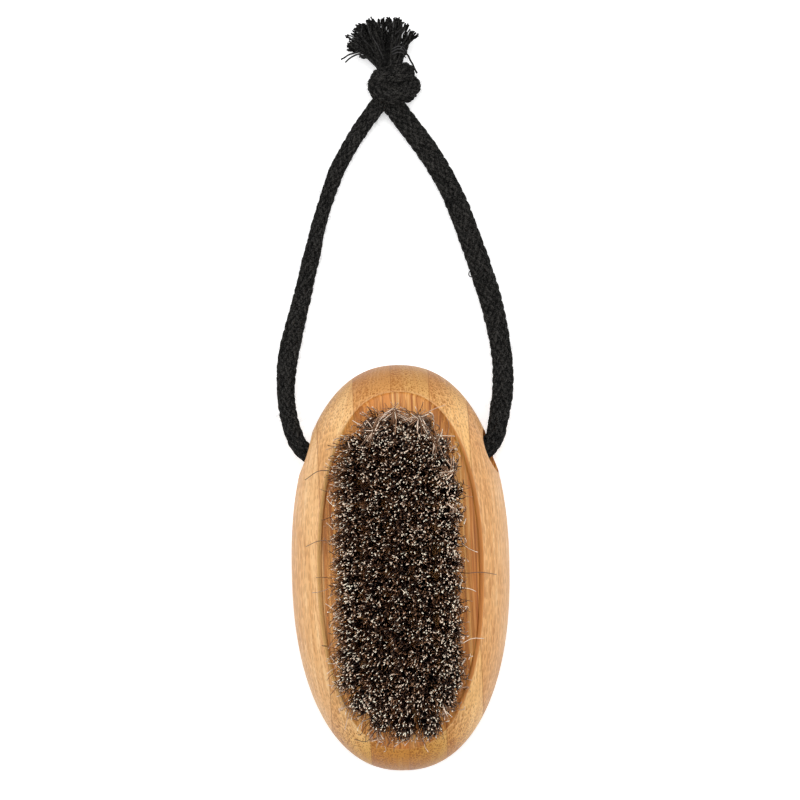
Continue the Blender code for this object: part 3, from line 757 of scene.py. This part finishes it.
def cut_all(obj, cutters):
    for cutter in cutters:
        modifier = obj.modifiers.new(cutter.name, "BOOLEAN")
        modifier.operation = "DIFFERENCE"
        modifier.solver = "EXACT"
        modifier.material_mode = "TRANSFER"
        modifier.object = cutter
    graph = bpy.context.evaluated_depsgraph_get()
    mesh = bpy.data.meshes.new_from_object(obj.evaluated_get(graph))
    obj.modifiers.clear()
    obj.data = mesh
    for cutter in cutters:
        bpy.data.objects.remove(cutter, do_unlink=True)


def block_mesh(rim_paint, bed_paint):
    """The block before its holes, with the bed's material inside the crest of the rim."""
    rings, crest = block_rings()
    places = [crowned(block_outline(inset), height) for inset, height in rings]
    foot = RIM_WIDTH + RIDGE_ROUND + BED_WALL_RUN
    floor = np.column_stack([block_outline(foot), np.full(OUTLINE_SEGMENTS, BED_HEIGHT)])
    wall = places[-1]
    places += [wall + (floor - wall) * share for share in BED_WALL_SHARES]
    places.append(floor)
    index = np.arange(len(places) * OUTLINE_SEGMENTS).reshape(len(places), OUTLINE_SEGMENTS)
    after = np.roll(index, -1, axis=1)
    quads = np.stack([index[:-1], after[:-1], after[1:], index[1:]], axis=-1).reshape(-1, 4)
    faces = [quads, index[0][None, ::-1], index[-1][None]]
    block = mesh_piece("bamboo_block", np.concatenate(places), faces, rim_paint)
    block.data.materials.append(bed_paint)
    inside = np.zeros(len(block.data.polygons), dtype=np.int32)
    inside[crest * OUTLINE_SEGMENTS : len(quads)] = 1
    inside[-1] = 1
    block.data.polygons.foreach_set("material_index", inside)
    return block


def make_block():
    rim_paint = bamboo("bamboo_rim", RIM_TONES, RIM)
    bed_paint = bamboo("bamboo_bed", BED_TONES, BED)
    block = block_mesh(rim_paint, bed_paint)
    along_hole = Vector((math.cos(CORD_HOLE_SLANT), 0, math.sin(CORD_HOLE_SLANT)))
    across = along_hole.to_track_quat("Z", "Y").to_matrix()
    length = 2 * (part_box("handle_block")[1][0] + CUT_OVERRUN)
    cord_hole = cylinders(
        "cord_hole", [CORD_HOLE], CORD_HOLE_RADIUS, length, CORD_HOLE_SEGMENTS, bed_paint, across
    )
    feet = [(x, y, BED_HEIGHT) for _, row, y in tuft_rows() for x in row]
    tuft_holes = cylinders(
        "tuft_holes", feet, TUFT_HOLE_RADIUS, 2 * TUFT_HOLE_DEPTH, TUFT_HOLE_SEGMENTS, bed_paint
    )
    cut_all(block, [cord_hole, tuft_holes])
    block.data.shade_smooth()
    block.data.set_sharp_from_angle(angle=SHARP_ANGLE)
    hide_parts("handle_block")


def tuft_hairs(place, chance, opened, lean):
    """Foot, tip, height and bow of each hair of one tuft."""
    count = HAIRS_IN_TUFT
    turn = chance.uniform(0, 2 * np.pi, count)
    away = np.sqrt(chance.uniform(0, 1, count))
    out = np.column_stack([np.cos(turn), np.sin(turn)])
    foot = place + out * away[:, None] * (TUFT_HOLE_RADIUS - 2 * HAIR_RADIUS)
    field = (place - (FIELD_OFFSET, 0)) * FIELD_SPLAY_SHARES
    spread = out * away[:, None] * TUFT_SPREAD * opened
    stray = 1 + (chance.uniform(0, 1, (count, 1)) > 0.90) * 1.2
    scatter = chance.normal(0, TIP_SCATTER, (count, 2)) * stray
    head = place + field + FIELD_LEAN + lean + spread + scatter
    shortfall = chance.gamma(1.6, TIP_SHORTFALL, count)
    height = TIP_HEIGHT - shortfall - ((head - foot) ** 2).sum(-1) / LEAN_FALL
    bow = chance.normal(0, HAIR_BOW, (count, 2))
    return foot, head, height, bow


def loose_hairs(place, chance, count):
    """Hairs of a tuft at the field's edge that lean far out."""
    across, along = (place - (FIELD_OFFSET, 0)) / FIELD_REACH
    turn = math.atan2(along, across) + chance.normal(0, 0.70, count)
    out = np.column_stack([np.cos(turn), np.sin(turn)])
    foot = place + out * TUFT_HOLE_RADIUS * 0.8
    reach = TUFT_SPREAD + chance.gamma(2.0, TIP_SCATTER, (count, 1))
    head = place + FIELD_LEAN + out * reach
    height = TIP_HEIGHT - chance.uniform(*LOOSE_LOWER, count) - (reach[:, 0] ** 2) / LOOSE_FALL
    bow = chance.normal(0, LOOSE_BOW, (count, 2))
    return foot, head, height, bow


def splayed_hairs(place, knee, fan, chance):
    """Hairs of one tuft that meet at a knee and fan out from there, as places along each."""
    heading, spread, reach, count = fan
    turn = np.radians(heading + spread * chance.normal(0, 1, count))
    out = np.column_stack([np.cos(turn), np.sin(turn), chance.normal(-0.16, 0.14, count)])
    length = reach * chance.uniform(0.45, 1.15, count)
    curves = []
    for way, run in zip(out, length):
        turned = knee + chance.normal(0, KNEE_SCATTER, 3)
        foot = np.append(place + chance.normal(0, TUFT_HOLE_RADIUS / 3, 2), BED_HEIGHT)
        tip = turned + way * run
        tip[2] = min(tip[2], TIP_HEIGHT - FAN_BELOW_TIPS)
        shoulder = foot * 0.45 + turned * 0.55 + (0, 0, KNEE_SHOULDER)
        hair = Path([foot, shoulder, turned, (turned + tip) / 2 + (0, 0, FAN_ARCH), tip])
        curves.append(hair.at(hair.length * HAIR_RISES)[0])
    curves = np.array(curves)
    curves[..., 2] = np.minimum(curves[..., 2], TIP_HEIGHT - HAIR_RADIUS)
    return curves


def hair_curves(foot, head, height, bow):
    """Places along hairs that rise straight from their hole and bend outwards."""
    t = HAIR_RISES[None, :, None]
    start = BED_HEIGHT - TUFT_HOLE_DEPTH / 2
    curl = 0.8 * bow[:, None, ::-1] * (1, -1) * np.sin(2 * np.pi * t) * t
    lean = (head - foot)[:, None] * t**HAIR_BEND
    flat = foot[:, None] + lean + bow[:, None] * np.sin(np.pi * t) + curl
    rise = start + (height[:, None, None] - start) * t
    return np.concatenate([flat, rise], axis=-1)


# Tufts that stand open at the edge, as (row, tuft): (opening, lean, loose hairs, share of pale hairs)
OPEN_TUFTS = {
    (13, 0): (0.85, (0.0008, -0.0014), 12, 0.30),
    (13, 1): (0.95, (-0.0002, -0.0010), 10, 0.24),
    (13, 2): (0.90, (-0.0010, -0.0016), 12, 0.24),
    (12, 0): (1.05, (-0.0006, -0.0004), 14, 0.28),
    (12, 1): (1.05, (-0.0002, 0.0003), 0, 0.22),
    (12, 3): (1.00, (0.0, 0.0003), 0, 0.24),
    (12, 4): (1.00, (-0.0012, -0.0004), 14, 0.26),
    (11, 0): (1.00, (-0.0006, 0.0), 14, 0.28),
    (11, 4): (1.00, (-0.0006, 0.0), 16, 0.30),
    (10, 4): (1.0, (0.0, 0.0), 26, 0.34),
    (1, 0): (0.75, (0.0013, 0.0002), 26, 0.26),
    (1, 4): (0.95, (0.0, 0.0008), 26, 0.30),
    (0, 0): (0.66, (0.0014, 0.0015), 24, 0.22),
    (0, 1): (0.70, (0.0005, -0.0009), 26, 0.24),
    (0, 2): (0.68, (0.0012, -0.0002), 28, 0.26),
}
EDGE_TUFT = (0.93, (0.0, 0.0), 26, 0.26)
INNER_TUFT = (1.0, (0.0, 0.0), 0, 0.18)

# Hairs that fan out from a knee, as (row, tuft): (knee, fans), each fan (degrees, spread, reach, hairs)
KNEES = {
    (13, 0): ((-0.0054, 0.0308, 0.0344), (
        (155, 22, 0.0034, 9), (235, 26, 0.0034, 13), (30, 26, 0.0034, 11),
    )),
    (13, 1): ((-0.0007, 0.0350, 0.0344), (
        (188, 18, 0.0036, 9), (60, 35, 0.0018, 5), (-22, 12, 0.0046, 9),
        (222, 18, 0.0042, 15), (-82, 22, 0.0044, 14),
    )),
    (13, 2): ((0.0046, 0.0334, 0.0344), (
        (20, 16, 0.0030, 8), (-65, 22, 0.0042, 14), (205, 25, 0.0036, 10), (150, 25, 0.0020, 5),
    )),
    (12, 4): ((0.0080, 0.0276, 0.0344), (
        (100, 25, 0.0034, 8), (-75, 22, 0.0030, 10), (20, 45, 0.0016, 5),
    )),
    (11, 4): ((0.0112, 0.0214, 0.0344), (
        (120, 25, 0.0040, 12), (190, 30, 0.0030, 8), (60, 25, 0.0024, 4),
    )),
    (12, 0): ((-0.0104, 0.0270, 0.0343), ((165, 45, 0.0018, 6),)),
    (11, 0): ((-0.0120, 0.0230, 0.0342), ((190, 45, 0.0018, 6),)),
    (9, 4): ((0.0114, 0.0130, 0.0343), ((120, 45, 0.0026, 10),)),
    (1, 4): ((0.0086, -0.0290, 0.0342), ((-50, 30, 0.0030, 8),)),
}
NO_KNEE = (None, ())
# Reach of the fanned hairs' marks: how brown, how pale at the tip, and from where on
FAN_MARKS = ((0.6, 1.0), (0.62, 0.92), (0.25, 0.80))


def hair_marks(loose, bright, chance):
    """How brown each hair of a tuft is, how pale its tip is, and from where on."""
    brown = chance.uniform(1.3, 3.4)
    tones = [chance.uniform(0, 0.9, HAIRS_IN_TUFT) ** brown, chance.uniform(0.75, 1.0, loose)]
    lot = chance.uniform(0, 1, HAIRS_IN_TUFT)
    dull = BRIGHT_FROM * (lot - bright) / (1 - bright)
    pales = [np.where(lot < bright, 0.85 + 0.15 * lot / bright, dull), chance.uniform(0.68, 0.93, loose)]
    starts = [chance.uniform(0.86, 0.95, HAIRS_IN_TUFT), chance.uniform(0.15, 0.70, loose)]
    return np.array([np.concatenate(values) for values in (tones, pales, starts)])


def row_hairs(row, places, y, chance):
    """The curves of all hairs in a row and their marks."""
    hairs, marks, fans = [], [], []
    for tuft, x in enumerate(places):
        at_edge = row in (0, ROW_COUNT - 1) or tuft in (0, len(places) - 1)
        opened, lean, loose, bright = OPEN_TUFTS.get((row, tuft), EDGE_TUFT if at_edge else INNER_TUFT)
        place = np.array((x, y))
        hairs += [tuft_hairs(place, chance, opened, lean), loose_hairs(place, chance, loose)]
        marks.append(hair_marks(loose, bright, chance))
        knee, fans_here = KNEES.get((row, tuft), NO_KNEE)
        fans += [splayed_hairs(place, knee, fan, chance) for fan in fans_here]
    curves = hair_curves(*(np.concatenate(values) for values in zip(*hairs)))
    fanned = sum(len(fan) for fan in fans)
    marks.append(np.array([chance.uniform(*reach, fanned) for reach in FAN_MARKS]))
    return np.concatenate([curves, *fans]), np.concatenate(marks, axis=1)


def hair_piece(name, swept, marks, material):
    places, faces, values = swept
    kept = {key: mark[values["strand"]] for key, mark in zip(("tone", "pale", "start"), marks)}
    return mesh_piece(name, places, faces, material, {"along": values["along"], **kept})


def make_bristles(material):
    chance = np.random.default_rng(BRISTLE_SEED)
    for row, places, y in tuft_rows():
        curves, (tone, pale, start) = row_hairs(row, places, y, chance)
        side_on = np.linalg.norm(curves[:, -1, :2] - curves[:, 0, :2], axis=1)
        # Hairs that lean far out are seen from the side: painted sheen turns them brown and paler
        tone = np.maximum(tone, np.clip((side_on - PAINTED_SHEEN_FROM) / PAINTED_SHEEN_RUN, 0, 1))
        count = len(curves)
        radii = HAIR_RADIUS * chance.uniform(0.75, 1.25, (count, 1)) * HAIR_TAPER
        radii[:, -2:] *= 1 + 0.26 * (pale[:, None] > BRIGHT_FROM)
        radii[side_on > THIN_FROM] *= 0.75
        out = unit(chance.normal(size=(count, 1, 3)) * (1, 1, 0.1))
        swept = sweep(curves, radii, out, HAIR_SIDES, marks=HAIR_RISES)
        hair_row = hair_piece(f"hairs_row_{row + 1:02d}", swept, (tone, pale, start), material)
        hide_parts(f"bristle_row_{row + 1:02d}")


# Single long hairs, as (x and y of the root, of the tip, sideways bow, height of the tip, how pale)
STRAY_HAIRS = (
    ((-0.0130, 0.0218), (-0.0204, 0.0202), -0.0013, 0.0245, 0.40),
    ((-0.0142, 0.0071), (-0.0205, 0.0057), -0.0007, 0.0240, 0.62),
    ((0.0140, -0.0003), (0.0208, -0.0011), 0.0004, 0.0235, 0.60),
    ((0.0125, -0.0155), (0.0178, -0.0147), 0.0006, 0.0262, 0.92),
    ((-0.0138, 0.0146), (-0.0156, 0.0162), 0.0002, 0.0285, 0.95),
    ((-0.0142, 0.0097), (-0.0158, 0.0110), 0.0, 0.0285, 0.90),
    ((-0.0142, -0.0077), (-0.0163, -0.0064), 0.0, 0.0285, 0.90),
    ((-0.0130, -0.0204), (-0.0155, -0.0177), 0.0001, 0.0285, 0.98),
    ((-0.0110, -0.0292), (-0.0132, -0.0264), 0.0005, 0.0285, 0.55),
    ((-0.0064, -0.0344), (-0.0106, -0.0360), 0.0012, 0.0265, 0.50),
    ((0.0102, -0.0240), (0.0116, -0.0285), 0.0002, 0.0290, 0.96),
    ((0.0138, -0.0035), (0.0162, -0.0044), 0.0002, 0.0285, 0.94),
    ((0.0080, 0.0293), (0.0122, 0.0292), 0.0001, 0.0290, 0.88),
    ((0.0084, 0.0286), (0.0114, 0.0291), -0.0013, 0.0285, 0.30),
    ((0.0050, 0.0337), (0.0103, 0.0360), 0.0002, 0.0300, 0.84),
    ((-0.0058, 0.0311), (-0.0098, 0.0330), 0.0002, 0.0295, 0.90),
)
STRAY_ROOT_HEIGHT = 0.0296
STRAY_FOOT_SHARES = (0.85, 0.97)
STRAY_POINTS = 14
STRAY_SIDES = 5


def make_strays(material):
    """Single long hairs that lean out of the field, some of them over the rim."""
    curves = []
    for root, tip, bow, tip_height, _ in STRAY_HAIRS:
        root, tip = np.array(root), np.array(tip)
        run_x, run_y = tip - root
        sideways = bow * np.array((-run_y, run_x)) / math.hypot(run_x, run_y)
        low, high = sorted((STRAY_ROOT_HEIGHT, tip_height))
        foot = (*root * STRAY_FOOT_SHARES, BED_HEIGHT)
        middle = (*(root + tip) / 2 + sideways, high * 0.6 + low * 0.4)
        hair = Path([foot, (*root, STRAY_ROOT_HEIGHT), middle, (*tip, tip_height)])
        curves.append(hair.at(np.linspace(0, hair.length, STRAY_POINTS))[0])
    pale = np.array([hair[-1] for hair in STRAY_HAIRS])
    radii = HAIR_RADIUS * np.linspace(1.15, 0.60, STRAY_POINTS)[None]
    swept = sweep(np.array(curves), radii, UP, STRAY_SIDES)
    hair_piece("stray_hairs", swept, (pale, pale, np.full(len(pale), 0.4)), material)


def leg_halves(places):
    """Half the cord's breadth and height where it runs through these places, round inside the hole."""
    x, y = places[:, 0], places[:, 1]
    left = np.interp(y, *zip(*LEFT_HALF_WIDTHS))
    right = np.interp(y, *zip(*RIGHT_HALF_WIDTHS))
    outside = np.clip((np.abs(x) - ROUND_WITHIN) / ROUND_FADE, 0, 1)
    outside = np.where(y > ROUND_BELOW, 1, outside)
    radius = CORD_DIAMETER / 2
    broad = radius + (np.where(x < 0, left, right) - radius) * outside
    return broad, np.minimum(radius**2 / broad, radius)


def make_cord(material):
    """The cord's legs and the stretch in the hole, one braid that is split where the hole hides it."""
    ends = []
    for route in (LEFT_ROUTE, RIGHT_ROUTE):
        near, last = np.array(route[-2:])
        ends.append(last + unit(last - near) * KNOT_ENTRY)
    middle = (0.0, *LEFT_ROUTE[0][1:])
    whole = Path([ends[0], *LEFT_ROUTE[::-1], middle, *RIGHT_ROUTE, ends[1]], level=True)
    marks = []
    for route in (LEFT_ROUTE, RIGHT_ROUTE):
        from_hole = np.linalg.norm(whole.places - route[0], axis=1)
        marks.append(whole.travelled[from_hole.argmin()])
    pieces = (
        ("braid_left_leg", 0.0, marks[0], "cord_left_leg"),
        ("braid_in_hole", marks[0], marks[1], "cord_hole_stretch"),
        ("braid_right_leg", marks[1], whole.length, "cord_right_leg"),
    )
    made = {}
    for name, start, stop, node in pieces:
        obj = cotton_piece(name, braid(whole, start, stop, leg_halves), material)
        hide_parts(node)
        made[name] = (obj, start, stop)
    return whole, made


def cotton_piece(name, swept, material):
    places, faces, values = swept
    kept = {key: values[key] for key in ("run", "turn", "crown")}
    return mesh_piece(name, places, faces, material, kept)


def declare_cords(whole, made):
    for name, route in (("braid_left_leg", LEFT_ROUTE), ("braid_right_leg", RIGHT_ROUTE)):
        obj, start, stop = made[name]
        along = whole.at(np.linspace(start, stop, 40))[0]


def make_knot(material):
    """The overhand knot: turns of braid over a dark middle."""
    parts, paths = [], []
    for *halves, shares in KNOT_TURNS:
        path = Path(KNOT_CENTRE + KNOT_REACH * np.array(shares))
        section = lambda places, halves=halves: halves
        paths.append((path, section))
        parts.append(braid(path, 0.0, path.length, section, KNOT_LAY, KNOT_ROUGHNESS))
    steps = np.linspace(-1, 1, 15)
    length, radius = KNOT_REACH[:2] * KNOT_CORE_SHARES
    spine = KNOT_CENTRE + np.outer(steps, (length, 0, 0))
    core = sweep(spine[None], radius * np.sqrt(np.maximum(1 - steps**2, 0.02)), UP, 20)
    knot = cotton_piece("braided_knot", joined([*parts, one_crown(core, -1.0)]), material)
    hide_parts("cord_knot")
    return knot, paths


def tassel_clump(fan, reach, count, spread, chance):
    """Yarns that leave the neck together and curl the same way."""
    sway = chance.normal(0, TASSEL_SWAY, (3, 3)) * np.array((0.5, 1.0, 1.6))[:, None]
    middle_turn = fan + chance.normal(0, spread / 2)
    level = chance.uniform(-1, 1)
    return [tassel_curve(middle_turn, reach, spread, level, sway, chance) for _ in range(count)]


def tassel_curve(fan, reach, spread, level, sway, chance):
    """One yarn, out of the knot through the neck to its place in the fan."""
    turn = fan + chance.normal(0, spread / 4)
    across = np.clip(-math.sin(turn) * 1.1 + chance.normal(0, 0.25), -1, 1)
    rise = np.clip(level + chance.normal(0, 0.25), -1, 1) * math.sqrt(1 - across**2 * 0.8)
    heading = np.array((-math.sin(turn), math.cos(turn), 0.0))
    beside = np.array((across * NECK_HALF[0], 0.0, rise * NECK_HALF[1]))
    start = TASSEL_NECK + beside * 0.7
    neck = TASSEL_HUB + beside * 0.85 - (0, NECK_BELOW_HUB, 0)
    tip = TASSEL_HUB + heading * reach * chance.uniform(0.88, 1.02) + (0, 0, rise * TASSEL_RISE)
    places = [start, neck]
    for share, pull in zip((0.35, 0.68, 1.0), sway):
        own = chance.normal(0, TASSEL_SWAY * 0.35, 3)
        belly = np.array((0, YARN_BELLY[0], YARN_BELLY[1] * rise)) * math.sin(math.pi * share)
        places.append(neck + (tip - neck) * share + (pull + own) * (1, 0.4, 0.8) + belly)
    for place in places:
        place[2] = max(place[2], 2 * TASSEL_YARN_RADIUS)
    return Path(places)


# Single yarns of the tassel: two hang out at the left, three cross the neck and one hangs at the right
TASSEL_STRAYS = (
    ((-0.0010, 0.1150, 0.0050), (-0.0057, 0.1153, 0.0060),
     (-0.0089, 0.1149, 0.0060), (-0.0113, 0.1138, 0.0050)),
    ((-0.0010, 0.1145, 0.0060), (-0.0057, 0.1149, 0.0068),
     (-0.0086, 0.1143, 0.0064), (-0.0104, 0.1130, 0.0058)),
    ((0.0001, 0.1155, 0.0080), (0.0013, 0.1160, 0.0087),
     (0.0026, 0.1159, 0.0083), (0.0035, 0.1149, 0.0068)),
    ((0.0001, 0.1149, 0.0082), (0.0013, 0.1154, 0.0088),
     (0.0025, 0.1153, 0.0084), (0.0034, 0.1143, 0.0069)),
    ((0.0002, 0.1143, 0.0080), (0.0013, 0.1147, 0.0086),
     (0.0024, 0.1146, 0.0082), (0.0032, 0.1137, 0.0067)),
    ((0.0018, 0.1150, 0.0080), (0.0033, 0.1144, 0.0086),
     (0.0045, 0.1124, 0.0078), (0.0056, 0.1102, 0.0066)),
)
STRAY_RADIUS_SHARES = (0.98, 0.98, 0.60, 0.60, 0.60, 1.15)
# Crown values of the stray yarns; the three that cross the neck get a painted highlight
STRAY_CROWNS = (0.6, 0.6, 3.6, 3.6, 3.6, 0.6)


def make_tassel(material, chance):
    """The cord's frayed ends: a dense fan of crinkled yarns above the knot."""
    paths = []
    for fan, reach, count, spread in BUNDLES:
        for first in range(0, count, CLUMP_YARNS):
            yarns = min(CLUMP_YARNS, count - first)
            paths += tassel_clump(math.radians(fan), reach, yarns, math.radians(spread), chance)
    fanned = len(paths)
    paths += [Path(route) for route in TASSEL_STRAYS]
    runs = np.array([np.linspace(0, path.length, YARN_POINTS) for path in paths])
    laid = np.array([path.at(run)[0] for path, run in zip(paths, runs)])
    phase = chance.uniform(0, 2 * np.pi, (len(paths), 1))
    wave = CRINKLE_HEIGHT * np.sin(2 * np.pi * runs / CRINKLE_LENGTH + phase)
    wave[fanned:] *= 0.3
    laid += wave[..., None] * unit(chance.normal(size=(len(paths), 1, 3)))
    laid[:, :, 2] = np.maximum(laid[:, :, 2], 2 * TASSEL_YARN_RADIUS)
    radii = TASSEL_YARN_RADIUS * chance.uniform(0.80, 1.20, (len(paths), 1)) * np.ones(YARN_POINTS)
    radii[fanned:] = TASSEL_YARN_RADIUS * np.array(STRAY_RADIUS_SHARES)[:, None]
    swept = sweep(laid, radii, UP, YARN_SIDES)
    values = swept[2]
    values["run"] = MM * runs.ravel().repeat(YARN_SIDES)
    # Painted highlights on a few yarns, by their crown values
    lit = 2.8 * chance.uniform(0, 1, len(paths)) ** 3
    lit[fanned:] = STRAY_CROWNS
    values["crown"] = lit[values["strand"]]
    tassel = cotton_piece("tassel_yarns", swept, material)
    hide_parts("cord_tassel")
    return tassel


# A loop of yarn pulled out of the braid
SNAGGED_LOOP = (
    (0.0180, 0.0662, 0.0028), (0.0169, 0.0660, 0.0032), (0.0165, 0.0653, 0.0032),
    (0.0168, 0.0647, 0.0031), (0.0181, 0.0644, 0.0028),
)


def make_lint(material, whole, knot_paths, chance):
    parts = [lint(whole, LINT_ON_CORD, chance, leg_halves)]
    parts += [lint(path, LINT_ON_KNOT_TURN, chance, section) for path, section in knot_paths]
    loop = sweep(Path(SNAGGED_LOOP).places[None], SNAG_RADIUS, UP, YARN_SIDES)
    parts.append(one_crown(loop, 0.0))
    return cotton_piece("cord_lint", joined(parts), material)


# Studio

def make_camera():
    data = bpy.data.cameras.new("camera")
    data.lens = CAMERA_LENS
    data.clip_start = CAMERA_CLIP
    camera = link("camera", data)
    camera.location = CAMERA_PLACE
    camera.rotation_euler = (0, 0, CAMERA_ROLL)
    bpy.context.scene.camera = camera


def make_lamps():
    for place, size, power in LAMPS:
        data = bpy.data.lights.new("soft_box", "AREA")
        data.shape = "RECTANGLE"
        data.size, data.size_y = size
        data.energy = power
        lamp = link("soft_box", data)
        lamp.location = place
        lamp.rotation_euler = (Vector(LAMP_AIM) - Vector(place)).to_track_quat("-Z", "Y").to_euler()


def make_floor():
    mesh = bpy.data.meshes.new("floor")
    half = FLOOR_SIZE / 2
    corners = [(-half, -half), (half, -half), (half, half), (-half, half)]
    mesh.from_pydata([(x, y, -FLOOR_DROP) for x, y in corners], [], [(0, 1, 2, 3)])
    mesh.materials.append(floor_material())
    link("floor", mesh)


def make_world():
    paint = Paint("studio", "worlds", "Background")
    bpy.context.scene.world = paint.made
    seen = paint.node("ShaderNodeLightPath", {}).outputs["Is Camera Ray"]
    paint.set("Color", (1.0, 1.0, 1.0, 1.0))
    paint.set("Strength", paint.times(seen, 1.0 - WORLD_STRENGTH, WORLD_STRENGTH))


def main():
    bpy.context.scene.view_settings.view_transform = "Standard"
    chance = np.random.default_rng(CORD_SEED)
    make_camera()
    cotton = cotton_material()
    whole, made = make_cord(cotton)
    knot, knot_paths = make_knot(cotton)
    tassel = make_tassel(cotton, chance)
    declare_cords(whole, made)
    make_lint(cotton, whole, knot_paths, chance)
    make_block()
    bristle = bristle_material()
    make_bristles(bristle)
    make_strays(bristle)
    make_lamps()
    make_floor()
    make_world()


main()
